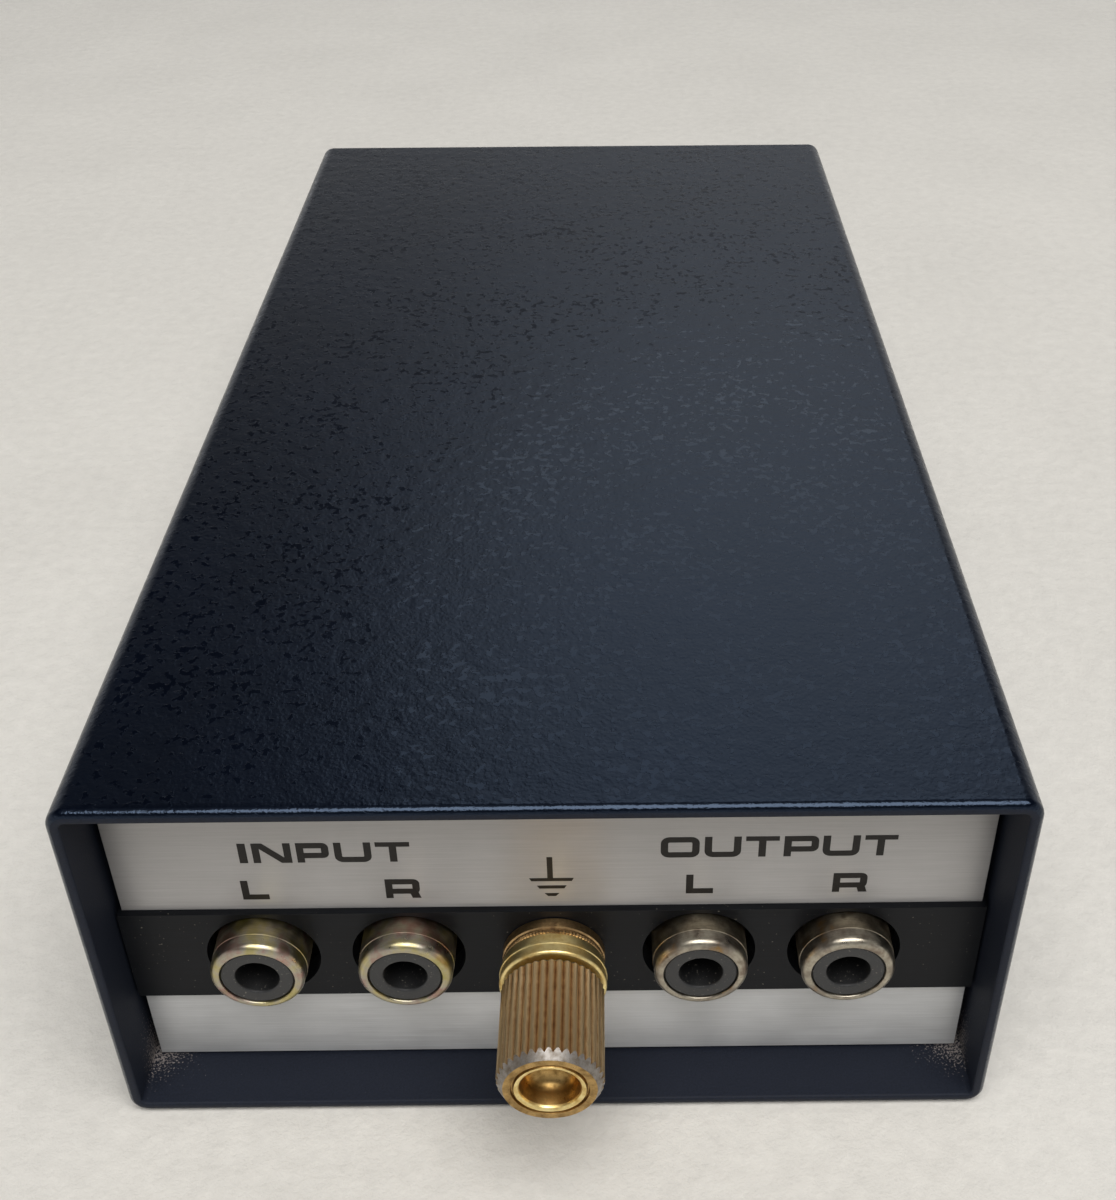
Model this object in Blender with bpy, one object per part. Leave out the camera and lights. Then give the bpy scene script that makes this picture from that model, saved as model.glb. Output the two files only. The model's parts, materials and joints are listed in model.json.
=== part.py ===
"""Passive stereo step-up transformer box with four phono sockets and an earth terminal.

A painted steel sleeve holds a folded tray. The tray carries the front panel with its two
label plates, a socket board, two screened transformers, their leads and the rear panel.
The frame's origin is the centre of the sleeve's underside, the front faces -Y and +Z is up.
"""
import math

import bmesh
import bpy
from mathutils import Vector

MM = 0.001
GAP = 0.3 * MM                      # clearance kept between neighbouring pieces

# Sleeve
WIDTH = 80.0 * MM
DEPTH = 145.0 * MM
HEIGHT = 39.5 * MM
WALL = 1.2 * MM
OUTER_CORNER = 1.8 * MM
INNER_CORNER = 0.6 * MM
FRONT = -DEPTH / 2
REAR = DEPTH / 2
INSIDE_X = WIDTH / 2 - WALL - GAP   # half width of what slides into the sleeve
FLOOR = WALL + GAP                  # underside of the tray
CEILING = HEIGHT - WALL - GAP

# Front panel, set back in the sleeve, with a raised dark band between two label plates
LABEL_RECESS = 5.3 * MM
LABEL_THICK = 0.5 * MM
PANEL_THICK = 1.0 * MM
BAND_PROUD = 0.6 * MM
BAND_LOW = 10.85 * MM
BAND_HIGH = 21.9 * MM
LABEL_Y = FRONT + LABEL_RECESS
BAND_Y = LABEL_Y - BAND_PROUD
PANEL_Y = LABEL_Y + LABEL_THICK + GAP
PANEL_BACK = PANEL_Y + PANEL_THICK
LABEL_HALF = INSIDE_X - 0.3 * MM

# Sockets, on a board behind the panel
PITCH = 13.1 * MM
SOCKET_NAMES = {-2: "input_left", -1: "input_right", 1: "output_left", 2: "output_right"}
SOCKET_Z = 17.0 * MM
SOCKET_HOLE_Z = 16.4 * MM
SOCKET_HOLE_R = 5.1 * MM
BOARD_Y = BAND_Y + 5.0 * MM
BOARD_THICK = 1.6 * MM
BOARD_HALF = 31.5 * MM
BOARD_LOW = 8.5 * MM
BOARD_HIGH = 25.5 * MM
SHELL_R = 4.25 * MM
SHELL_LENGTH = 8.1 * MM
NECK_R = 3.0 * MM
SHELL_BORE = 3.3 * MM
INSULATOR_R = 3.1 * MM
PIN_HOLE_R = 1.93 * MM

# Tray, folded from one sheet
TRAY_THICK = 1.0 * MM
TRAY_TOP = FLOOR + TRAY_THICK
TRAY_FRONT = BOARD_Y + BOARD_THICK + GAP
FLANGE_HIGH = 31.0 * MM
REAR_RECESS = 5.3 * MM
REAR_PANEL_OUT = REAR - REAR_RECESS
REAR_PANEL_IN = REAR_PANEL_OUT - PANEL_THICK
TRAY_REAR = REAR_PANEL_IN - GAP

# Earth terminal, measured outwards from the band's face
POST_Z = 16.5 * MM
STUD_R = 2.0 * MM
STUD_BACK = -7.6 * MM
STUD_FRONT = 10.2 * MM
COLLAR_R = 4.6 * MM
COLLAR_END = 1.55 * MM
WASHER_R = 4.8 * MM
WASHER_START = COLLAR_END + GAP
WASHER_END = 3.9 * MM
NUT_START = WASHER_END + GAP
NUT_END = 13.9 * MM
NUT_CHAMFER = 0.7 * MM
TEETH = 38
TOOTH_TIP = 4.55 * MM
TOOTH_ROOT = 4.28 * MM
NUT_NECK_R = 2.9 * MM
NUT_BORE = STUD_R + GAP
DISH_R = 2.9 * MM
DISH_DEPTH = 2.0 * MM

# Transformers
CAN_R = 15.0 * MM
CAN_WALL = 0.6 * MM
CAN_X = 18.5 * MM
CAN_Y = 5.0 * MM
CAN_LOW = TRAY_TOP + GAP
CAN_HIGH = 33.0 * MM
LID_THICK = 1.2 * MM
CORE = Vector((24.0, 8.0, 20.0)) * MM
CORE_WINDOW = Vector((5.0, 0.0, 12.0)) * MM
CENTRE_LEG = 6.0 * MM
CORE_Z = CAN_LOW + LID_THICK + 14.0 * MM

# Fasteners
SCREW_R = 1.5 * MM
SCREW_CLEAR = SCREW_R + GAP
CASE_SCREW_Y = 45.0 * MM
PANEL_SCREW = Vector((35.0, 0.0, 6.0)) * MM
REAR_SCREW = Vector((28.0, 0.0, 20.0)) * MM
RIVET = Vector((1.5 * PITCH, 0.0, 23.6 * MM))
RIVET_HOLE_R = 1.2 * MM
SINK_R = 3.1 * MM                   # wide end of a countersunk hole in the sleeve
SINK_END_R = 1.9 * MM
SOCKET_CLEAR_R = 6.0 * MM           # hole in the tray behind each socket
EARTH_CLEAR_R = 5.0 * MM            # hole behind the earth terminal
LEAD_R = 0.7 * MM

FORWARD = (math.pi / 2, 0.0, 0.0)    # turns a piece's own +Z towards the front
BACKWARD = (-math.pi / 2, 0.0, 0.0)  # turns it towards the rear
UPRIGHT = (0.0, 0.0, 0.0)


def clear_scene():
    """Remove whatever the start-up scene holds."""
    for item in list(bpy.data.objects):
        bpy.data.objects.remove(item, do_unlink=True)


def finish(name, colour, roughness, metallic=0.0):
    """A Principled material."""
    material = bpy.data.materials.new(name)
    material.use_nodes = True
    shader = material.node_tree.nodes["Principled BSDF"]
    shader.inputs["Base Color"].default_value = (*colour, 1.0)
    shader.inputs["Roughness"].default_value = roughness
    shader.inputs["Metallic"].default_value = metallic
    return material


def make_finishes():
    """Every finish used on the box."""
    return {
        "sleeve": finish("navy_hammer_paint", (0.013, 0.018, 0.032), 0.45),
        "black": finish("black_anodised_aluminium", (0.018, 0.019, 0.022), 0.55, 0.6),
        "label": finish("brushed_aluminium", (0.34, 0.33, 0.31), 0.35, 1.0),
        "sheet": finish("passivated_steel_sheet", (0.42, 0.41, 0.36), 0.4, 1.0),
        "board": finish("phenolic_board", (0.16, 0.07, 0.02), 0.6),
        "nickel": finish("tarnished_nickel", (0.36, 0.33, 0.25), 0.3, 1.0),
        "plastic": finish("grey_socket_plastic", (0.035, 0.037, 0.041), 0.5),
        "brass": finish("turned_brass", (0.55, 0.38, 0.16), 0.3, 1.0),
        "collar": finish("brown_nickel", (0.28, 0.21, 0.13), 0.35, 1.0),
        "steel": finish("zinc_plated_steel", (0.45, 0.45, 0.44), 0.35, 1.0),
        "screen": finish("mu_metal", (0.48, 0.46, 0.43), 0.3, 1.0),
        "core": finish("core_laminations", (0.22, 0.21, 0.2), 0.5, 1.0),
        "winding": finish("enamelled_copper", (0.42, 0.12, 0.03), 0.35, 0.7),
        "lead": finish("grey_lead_sheath", (0.12, 0.12, 0.13), 0.5),
        "earth_lead": finish("green_lead_sheath", (0.02, 0.16, 0.05), 0.5),
    }


def place(name, bm, material, location=(0, 0, 0), rotation=UPRIGHT, smooth=False):
    """Turn a bmesh into a named object at its place."""
    bmesh.ops.recalc_face_normals(bm, faces=bm.faces)
    mesh = bpy.data.meshes.new(name)
    bm.to_mesh(mesh)
    bm.free()
    if smooth:
        mesh.shade_smooth()
        mesh.set_sharp_from_angle(angle=math.radians(35))
    mesh.materials.append(material)
    item = bpy.data.objects.new(name, mesh)
    item.location = location
    item.rotation_euler = rotation
    bpy.context.collection.objects.link(item)
    return item


def block(name, low, high, material):
    """A plain cuboid between two corners."""
    low, high = Vector(low), Vector(high)
    bm = bmesh.new()
    bmesh.ops.create_cube(bm, size=1.0)
    bmesh.ops.scale(bm, verts=bm.verts, vec=high - low)
    return place(name, bm, material, (low + high) / 2)


def turned(name, profile, material, location, rotation=FORWARD, segments=20, ring=True):
    """Spin a profile of (radius, height) points about the piece's own Z.

    A ring's profile closes on itself. Any other profile starts and ends on the axis.
    """
    bm = bmesh.new()
    verts = [bm.verts.new((radius, 0.0, height)) for radius, height in profile]
    edges = [bm.edges.new(pair) for pair in zip(verts, verts[1:])]
    if ring:
        edges.append(bm.edges.new((verts[-1], verts[0])))
    bmesh.ops.spin(bm, geom=verts + edges, cent=(0, 0, 0), axis=(0, 0, 1), dvec=(0, 0, 0),
                   angle=2 * math.pi, steps=segments, use_merge=True, use_duplicate=False)
    bmesh.ops.remove_doubles(bm, verts=bm.verts, dist=1e-6)
    return place(name, bm, material, location, rotation, smooth=segments > 8)


def sheet_from(name, outline, thickness, material, location=(0, 0, 0), rotation=UPRIGHT):
    """Extrude a flat outline of (x, y) points along the piece's own Z."""
    bm = bmesh.new()
    face = bm.faces.new([bm.verts.new((x, y, 0.0)) for x, y in outline])
    grown = bmesh.ops.extrude_face_region(bm, geom=[face])["geom"]
    moved = [item for item in grown if isinstance(item, bmesh.types.BMVert)]
    bmesh.ops.translate(bm, verts=moved, vec=(0, 0, thickness))
    return place(name, bm, material, location, rotation)


def cut(target, cutter):
    """Subtract a hidden cutter from a piece."""
    cutter.hide_render = True
    cutter.display_type = "WIRE"
    boolean = target.modifiers.new(cutter.name, "BOOLEAN")
    boolean.operation = "DIFFERENCE"
    boolean.solver = "EXACT"
    boolean.object = cutter


def drill(target, name, radius, length, centre, rotation=FORWARD, segments=16, far_radius=None):
    """Bore a round or tapering hole, centred on a point, along the drill's own Z."""
    bm = bmesh.new()
    bmesh.ops.create_cone(bm, cap_ends=True, segments=segments, radius1=radius,
                          radius2=far_radius or radius, depth=length)
    cut(target, place("cutter_" + name, bm, target.data.materials[0], centre, rotation))


def rounded_rectangle(bm, half_x, low, high, radius, y, steps=4):
    """A closed loop of edges in the plane y, with round corners."""
    centres = ((half_x - radius, high - radius, 0.0), (radius - half_x, high - radius, 0.5),
               (radius - half_x, low + radius, 1.0), (half_x - radius, low + radius, 1.5))
    verts = []
    for x, z, start in centres:
        for step in range(steps + 1):
            angle = math.pi * (start + 0.5 * step / steps)
            verts.append(bm.verts.new((x + radius * math.cos(angle), y,
                                       z + radius * math.sin(angle))))
    return [bm.edges.new(pair) for pair in zip(verts, verts[1:] + verts[:1])]


def make_sleeve(material):
    """The one-piece sleeve, open at both ends, with two countersunk holes underneath."""
    bm = bmesh.new()
    outer = rounded_rectangle(bm, WIDTH / 2, 0.0, HEIGHT, OUTER_CORNER, FRONT)
    inner = rounded_rectangle(bm, WIDTH / 2 - WALL, WALL, HEIGHT - WALL, INNER_CORNER, FRONT)
    rim = bmesh.ops.bridge_loops(bm, edges=outer + inner)["faces"]
    grown = bmesh.ops.extrude_face_region(bm, geom=rim)["geom"]
    moved = [item for item in grown if isinstance(item, bmesh.types.BMVert)]
    bmesh.ops.translate(bm, verts=moved, vec=(0, DEPTH, 0))
    sleeve = place("case_sleeve", bm, material, smooth=True)
    for side, y in (("front", -CASE_SCREW_Y), ("rear", CASE_SCREW_Y)):
        drill(sleeve, "sleeve_" + side, SINK_R, WALL + 0.2 * MM, (0, y, WALL / 2), UPRIGHT,
              far_radius=SINK_END_R)


def make_tray(material):
    """Floor with an upturned flange at each end, one folded sheet."""
    run = TRAY_REAR - TRAY_FRONT
    outline = ((0, 0), (run, 0), (run, FLANGE_HIGH - FLOOR),
               (run - TRAY_THICK, FLANGE_HIGH - FLOOR), (run - TRAY_THICK, TRAY_THICK),
               (TRAY_THICK, TRAY_THICK), (TRAY_THICK, FLANGE_HIGH - FLOOR),
               (0, FLANGE_HIGH - FLOOR))
    tray = sheet_from("chassis_tray", outline, 2 * INSIDE_X, material,
                      (-INSIDE_X, TRAY_FRONT, FLOOR), (math.pi / 2, 0, math.pi / 2))
    middle = TRAY_FRONT + TRAY_THICK / 2
    for place_index, name in SOCKET_NAMES.items():
        drill(tray, "tray_" + name, SOCKET_CLEAR_R, 3 * TRAY_THICK,
              (place_index * PITCH, middle, SOCKET_Z), segments=20)
    drill(tray, "tray_earth", EARTH_CLEAR_R, 3 * TRAY_THICK, (0, middle, POST_Z), segments=20)
    for side in (-1, 1):
        drill(tray, "tray_rivet_%+d" % side, RIVET_HOLE_R, 3 * TRAY_THICK,
              (side * RIVET.x, middle, RIVET.z))
        drill(tray, "tray_panel_%+d" % side, SCREW_CLEAR, 3 * TRAY_THICK,
              (side * PANEL_SCREW.x, middle, PANEL_SCREW.z))
        drill(tray, "tray_rear_%+d" % side, SCREW_CLEAR, 3 * TRAY_THICK,
              (side * REAR_SCREW.x, TRAY_REAR - TRAY_THICK / 2, REAR_SCREW.z))
        drill(tray, "tray_case_%+d" % side, SCREW_CLEAR, 3 * TRAY_THICK,
              (0, side * CASE_SCREW_Y, FLOOR + TRAY_THICK / 2), UPRIGHT)
    drill(tray, "tray_clamp", SCREW_CLEAR, 3 * TRAY_THICK,
          (0, CAN_Y, FLOOR + TRAY_THICK / 2), UPRIGHT)


def make_front_panel(materials):
    """Dark panel with its raised socket band, and the two label plates beside the band."""
    proud = PANEL_BACK - BAND_Y
    low, high = BAND_LOW - FLOOR, BAND_HIGH - FLOOR
    outline = ((0, 0), (PANEL_THICK, 0), (PANEL_THICK, low), (proud, low), (proud, high),
               (PANEL_THICK, high), (PANEL_THICK, CEILING - FLOOR), (0, CEILING - FLOOR))
    panel = sheet_from("front_panel", outline, 2 * INSIDE_X, materials["black"],
                       (INSIDE_X, PANEL_BACK, FLOOR), (math.pi / 2, 0, -math.pi / 2))
    middle = (PANEL_BACK + BAND_Y) / 2
    for place_index, name in SOCKET_NAMES.items():
        drill(panel, "panel_" + name, SOCKET_HOLE_R, 3 * proud,
              (place_index * PITCH, middle, SOCKET_HOLE_Z), segments=24)
    drill(panel, "panel_earth", STUD_R + GAP, 3 * proud, (0, middle, POST_Z))
    for side in (-1, 1):
        drill(panel, "panel_screw_%+d" % side, SCREW_CLEAR, PANEL_THICK + 0.2 * MM,
              (side * PANEL_SCREW.x, PANEL_Y + PANEL_THICK / 2, PANEL_SCREW.z),
              far_radius=3.2 * MM)
    block("upper_label_plate", (-LABEL_HALF, LABEL_Y, BAND_HIGH + GAP),
          (LABEL_HALF, LABEL_Y + LABEL_THICK, CEILING), materials["label"])
    block("lower_label_plate", (-LABEL_HALF, LABEL_Y, FLOOR),
          (LABEL_HALF, LABEL_Y + LABEL_THICK, BAND_LOW - GAP), materials["label"])


def make_rear_panel(materials):
    """Plain closing plate at the back, held by two pan-head screws."""
    panel = block("rear_panel", (-INSIDE_X, REAR_PANEL_IN, FLOOR),
                  (INSIDE_X, REAR_PANEL_OUT, CEILING), materials["black"])
    head = 1.9 * MM
    shank = -5.0 * MM
    profile = ((0, shank), (SCREW_R, shank), (SCREW_R, GAP), (2.8 * MM, GAP),
               (2.8 * MM, 0.7 * head), (2.2 * MM, head), (0, head))
    for side, name in ((-1, "left"), (1, "right")):
        drill(panel, "rear_%+d" % side, SCREW_CLEAR, 3 * PANEL_THICK,
              (side * REAR_SCREW.x, REAR_PANEL_IN + PANEL_THICK / 2, REAR_SCREW.z))
        turned("rear_screw_" + name, profile, materials["steel"],
               (side * REAR_SCREW.x, REAR_PANEL_OUT, REAR_SCREW.z), BACKWARD, 16, ring=False)


def make_socket_board(materials):
    """Insulating board that carries the four sockets, riveted to the tray's front flange."""
    board = block("socket_board", (-BOARD_HALF, BOARD_Y, BOARD_LOW),
                  (BOARD_HALF, BOARD_Y + BOARD_THICK, BOARD_HIGH), materials["board"])
    middle = BOARD_Y + BOARD_THICK / 2
    for place_index, name in SOCKET_NAMES.items():
        drill(board, "board_" + name, NECK_R + GAP, 3 * BOARD_THICK,
              (place_index * PITCH, middle, SOCKET_Z))
    drill(board, "board_earth", EARTH_CLEAR_R, 3 * BOARD_THICK, (0, middle, POST_Z))
    back = -(BOARD_THICK + GAP + TRAY_THICK + GAP)
    body, head = 0.9 * MM, 1.6 * MM
    profile = ((0, back - 0.6 * MM), (head, back - 0.6 * MM), (head, back), (body, back),
               (body, GAP), (head, GAP), (head, 0.9 * MM), (0, 0.9 * MM))
    for side, name in ((-1, "left"), (1, "right")):
        drill(board, "board_rivet_%+d" % side, RIVET_HOLE_R, 3 * BOARD_THICK,
              (side * RIVET.x, middle, RIVET.z))
        turned("board_rivet_" + name, profile, materials["steel"],
               (side * RIVET.x, BOARD_Y, RIVET.z), FORWARD, 12, ring=False)


def tag_outline(radius, tab_half, tab_length, steps=12):
    """A round tag with a soldering tab pointing down."""
    start = math.asin(tab_half / radius)
    points = [(tab_half, -tab_length), (-tab_half, -tab_length)]
    points.reverse()
    for step in range(steps + 1):
        angle = -math.pi / 2 + start + (2 * math.pi - 2 * start) * step / steps
        points.append((radius * math.cos(angle), radius * math.sin(angle)))
    return points


def make_socket(name, x, materials):
    """Shell, insulator, centre contact, earth tag and fixing nut of one phono socket."""
    spot = (x, BOARD_Y, SOCKET_Z)
    front = SHELL_LENGTH
    back = -5.0 * MM
    foot = 0.9 * MM
    step = front - 1.45 * MM
    shell = ((NECK_R, back), (NECK_R, GAP), (4.9 * MM, GAP), (4.9 * MM, foot),
             (SHELL_R, foot), (SHELL_R, step), (SHELL_R - 0.13 * MM, step + 0.1 * MM),
             (SHELL_R - 0.13 * MM, front - 0.6 * MM), (4.0 * MM, front - 0.25 * MM),
             (3.75 * MM, front - 0.05 * MM), (3.5 * MM, front), (SHELL_BORE, front - 0.15 * MM),
             (SHELL_BORE, 1.2 * MM), (1.9 * MM, 1.2 * MM), (1.9 * MM, back))
    turned("socket_shell_" + name, shell, materials["nickel"], spot)

    face = front - 0.15 * MM
    seat = 1.2 * MM + GAP
    insulator = ((PIN_HOLE_R, seat), (INSULATOR_R, seat), (INSULATOR_R, face),
                 (PIN_HOLE_R + 0.15 * MM, face), (PIN_HOLE_R, face - 0.15 * MM))
    turned("socket_insulator_" + name, insulator, materials["plastic"], spot)

    mouth = front - 1.9 * MM
    contact = ((0, back - 1.5 * MM), (0.6 * MM, back - 1.5 * MM), (0.6 * MM, seat),
               (1.6 * MM, seat), (1.6 * MM, mouth), (1.4 * MM, mouth), (1.4 * MM, seat + GAP),
               (0, seat + GAP))
    turned("socket_contact_" + name, contact, materials["nickel"], spot, segments=16,
           ring=False)

    tag_back = BOARD_Y + BOARD_THICK + GAP + 0.4 * MM
    tag = sheet_from("socket_tag_" + name, tag_outline(4.6 * MM, 1.2 * MM, 5.8 * MM),
                     0.4 * MM, materials["nickel"], (x, tag_back, SOCKET_Z), FORWARD)
    drill(tag, "tag_" + name, NECK_R + GAP, 2.0 * MM, (x, tag_back - 0.2 * MM, SOCKET_Z))

    nut_inner = (NECK_R + GAP) / math.cos(math.pi / 6)
    nut_front = -(BOARD_THICK + 2 * GAP + 0.4 * MM)
    nut_back = nut_front - 1.6 * MM
    nut = ((nut_inner, nut_back), (5.2 * MM, nut_back), (5.2 * MM, nut_front),
           (nut_inner, nut_front))
    turned("socket_nut_" + name, nut, materials["nickel"], spot, segments=6)


def make_thumb_nut(material, spot):
    """Straight-knurled nut with a blind bore behind and a dished face in front."""
    end = NUT_END
    shoulder = end - NUT_CHAMFER
    bore_end = 10.5 * MM
    rings = [(NUT_BORE, NUT_BORE, bore_end), (NUT_BORE, NUT_BORE, NUT_START - 1.2 * MM),
             (NUT_NECK_R, NUT_NECK_R, NUT_START - 1.2 * MM),
             (NUT_NECK_R, NUT_NECK_R, NUT_START), (TOOTH_ROOT, TOOTH_ROOT, NUT_START),
             (TOOTH_TIP, TOOTH_ROOT, NUT_START + 0.2 * MM),
             (TOOTH_TIP, TOOTH_ROOT, shoulder),
             (3.95 * MM, 3.95 * MM, end), (DISH_R, DISH_R, end)]
    for turn in (0.3, 0.6, 0.85):
        angle = turn * math.pi / 2
        rings.append((DISH_R * math.cos(angle),) * 2 + (end - DISH_DEPTH * math.sin(angle),))
    bm = bmesh.new()
    loop = bmesh.ops.create_circle(bm, cap_ends=True, segments=2 * TEETH, radius=1.0)["verts"]
    edges = list({edge for vert in loop for edge in vert.link_edges})
    for index, (tip, root, height) in enumerate(rings):
        if index:
            grown = bmesh.ops.extrude_edge_only(bm, edges=edges)["geom"]
            loop = [item for item in grown if isinstance(item, bmesh.types.BMVert)]
            edges = [item for item in grown if isinstance(item, bmesh.types.BMEdge)]
        for vert in loop:
            angle = math.atan2(vert.co.y, vert.co.x)
            slot = round(angle / (math.pi / TEETH))
            radius = root if slot % 2 else tip
            vert.co = (radius * math.cos(angle), radius * math.sin(angle), height)
    bmesh.ops.edgeloop_fill(bm, edges=edges)
    place("ground_thumb_nut", bm, material, spot, FORWARD)


def make_earth_terminal(materials):
    """Fixed stud and collar, and the thumb nut with its clamp washer."""
    spot = (0, BAND_Y, POST_Z)
    stud = ((0, STUD_BACK), (STUD_R - 0.3 * MM, STUD_BACK), (STUD_R, STUD_BACK + 0.3 * MM),
            (STUD_R, STUD_FRONT - 0.3 * MM), (STUD_R - 0.3 * MM, STUD_FRONT), (0, STUD_FRONT))
    turned("ground_stud", stud, materials["brass"], spot, ring=False)
    inner = STUD_R + GAP
    collar = ((inner, GAP), (COLLAR_R, GAP), (COLLAR_R, COLLAR_END - 0.1 * MM),
              (COLLAR_R - 0.1 * MM, COLLAR_END), (inner, COLLAR_END))
    turned("ground_base_collar", collar, materials["collar"], spot, segments=24)
    bore = NUT_NECK_R + GAP
    washer = ((bore, WASHER_START), (COLLAR_R - 0.05 * MM, WASHER_START),
              (WASHER_R, WASHER_START + 1.0 * MM), (WASHER_R, WASHER_END - 0.15 * MM),
              (WASHER_R - 0.15 * MM, WASHER_END), (bore, WASHER_END))
    turned("ground_clamp_washer", washer, materials["brass"], spot, segments=24)
    make_thumb_nut(materials["brass"], spot)

    tag_back = PANEL_BACK + GAP + 0.5 * MM
    tag = sheet_from("ground_solder_tag", tag_outline(3.8 * MM, 1.2 * MM, 6.2 * MM), 0.5 * MM,
                     materials["nickel"], (0, tag_back, POST_Z), FORWARD)
    drill(tag, "tag_earth", STUD_R + GAP, 2.0 * MM, (0, tag_back - 0.25 * MM, POST_Z))
    nut_inner = (STUD_R + GAP) / math.cos(math.pi / 6)
    nut_front = BAND_Y - tag_back - GAP
    nut = ((nut_inner, nut_front - 2.2 * MM), (4.0 * MM, nut_front - 2.2 * MM),
           (4.0 * MM, nut_front), (nut_inner, nut_front))
    turned("ground_back_nut", nut, materials["steel"], spot, segments=6)


def make_transformer(name, x, materials):
    """Screening can, its lid, and the core and winding inside."""
    base = (x, CAN_Y, 0.0)
    inside = CAN_R - CAN_WALL
    can = ((0, CAN_HIGH), (CAN_R - 1.0 * MM, CAN_HIGH), (CAN_R - 0.3 * MM, CAN_HIGH - 0.3 * MM),
           (CAN_R, CAN_HIGH - 1.0 * MM), (CAN_R, CAN_LOW), (inside, CAN_LOW),
           (inside, CAN_HIGH - 1.2 * MM), (inside - 0.8 * MM, CAN_HIGH - CAN_WALL),
           (0, CAN_HIGH - CAN_WALL))
    screen = turned("transformer_can_" + name, can, materials["screen"], base, UPRIGHT, 24,
                    ring=False)
    notch = block("cutter_notch_" + name,
                  (x - 5.0 * MM, CAN_Y - CAN_R - 2 * MM, CAN_LOW - 1 * MM),
                  (x + 5.0 * MM, CAN_Y - CAN_R + 4 * MM, CAN_LOW + 6.0 * MM),
                  materials["screen"])
    cut(screen, notch)

    lid_r = inside - GAP
    lid = ((0, CAN_LOW), (lid_r, CAN_LOW), (lid_r, CAN_LOW + LID_THICK),
           (0, CAN_LOW + LID_THICK))
    turned("transformer_lid_" + name, lid, materials["screen"], base, UPRIGHT, 24, ring=False)

    centre = Vector((x, CAN_Y, CORE_Z))
    core = block("transformer_core_" + name, centre - CORE / 2, centre + CORE / 2,
                 materials["core"])
    for side in (-1, 1):
        middle = centre + Vector((side * (CENTRE_LEG + CORE_WINDOW.x) / 2, 0, 0))
        reach = Vector((CORE_WINDOW.x, 2 * CORE.y, CORE_WINDOW.z)) / 2
        cut(core, block("cutter_window_%s_%+d" % (name, side), middle - reach, middle + reach,
                        materials["core"]))

    hole = Vector((CENTRE_LEG / 2 + GAP, CORE.y / 2 + GAP, CORE_WINDOW.z))
    outer = Vector((CENTRE_LEG / 2 + CORE_WINDOW.x - GAP, CORE.y / 2 + 4.0 * MM,
                    CORE_WINDOW.z / 2 - GAP))
    winding = block("transformer_winding_" + name, centre - outer, centre + outer,
                    materials["winding"])
    rounding = winding.modifiers.new("round_turns", "BEVEL")
    rounding.width = 1.2 * MM
    rounding.segments = 2
    cut(winding, block("cutter_bobbin_" + name, centre - hole, centre + hole,
                       materials["winding"]))


def make_clamp(materials):
    """Bar across both cans, pulled down to the tray by one screw and nut between them."""
    low = CAN_HIGH + GAP
    high = low + 1.2 * MM
    bar = block("transformer_clamp_bar", (-31 * MM, CAN_Y - 5 * MM, low),
                (31 * MM, CAN_Y + 5 * MM, high), materials["sheet"])
    drill(bar, "clamp_bar", SCREW_CLEAR, 4 * MM, (0, CAN_Y, (low + high) / 2), UPRIGHT)
    head = high + GAP
    foot = FLOOR + 0.3 * MM
    screw = ((0, foot), (SCREW_R, foot), (SCREW_R, head), (2.8 * MM, head),
             (2.8 * MM, head + 1.3 * MM), (2.2 * MM, head + 1.9 * MM), (0, head + 1.9 * MM))
    turned("clamp_screw", screw, materials["steel"], (0, CAN_Y, 0), UPRIGHT, 16, ring=False)
    inner = SCREW_CLEAR / math.cos(math.pi / 6)
    base = TRAY_TOP + GAP
    nut = ((inner, base), (3.2 * MM, base), (3.2 * MM, base + 2.4 * MM),
           (inner, base + 2.4 * MM))
    turned("clamp_nut", nut, materials["steel"], (0, CAN_Y, 0), UPRIGHT, 6)


def make_case_fasteners(materials):
    """Countersunk screws under the sleeve, and those behind the lower label plate."""
    profile = ((0, 0.15 * MM), (2.75 * MM, 0.15 * MM), (SCREW_R, 1.4 * MM),
               (SCREW_R, 6.0 * MM), (0, 6.0 * MM))
    for side, y in (("front", -CASE_SCREW_Y), ("rear", CASE_SCREW_Y)):
        turned("case_screw_" + side, profile, materials["steel"], (0, y, 0), UPRIGHT, 16,
               ring=False)

    spacer_front = PANEL_BACK + GAP
    spacer_length = TRAY_FRONT - GAP - spacer_front
    spacer = ((SCREW_CLEAR, 0), (3.0 * MM, 0), (3.0 * MM, spacer_length),
              (SCREW_CLEAR, spacer_length))
    depth = TRAY_FRONT + 3.0 * MM - PANEL_Y
    screw = ((0, -depth), (SCREW_R, -depth), (SCREW_R, -1.2 * MM), (2.65 * MM, -0.1 * MM),
             (0, -0.1 * MM))
    for side, name in ((-1, "left"), (1, "right")):
        x = side * PANEL_SCREW.x
        turned("panel_spacer_" + name, spacer, materials["steel"],
               (x, spacer_front, PANEL_SCREW.z), BACKWARD, 16)
        turned("panel_screw_" + name, screw, materials["steel"],
               (x, PANEL_Y, PANEL_SCREW.z), FORWARD, 16, ring=False)


def smooth_route(points, steps):
    """Points read from a smooth curve through a route's own points."""
    points = [Vector(point) for point in points]
    padded = [2 * points[0] - points[1]] + points + [2 * points[-1] - points[-2]]
    result = [points[0]]
    for before, start, end, after in zip(padded, padded[1:], padded[2:], padded[3:]):
        for step in range(1, steps + 1):
            t = step / steps
            result.append(0.5 * (2 * start + (end - before) * t
                                 + (2 * before - 5 * start + 4 * end - after) * t * t
                                 + (3 * start - before - 3 * end + after) * t ** 3))
    return result


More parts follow.
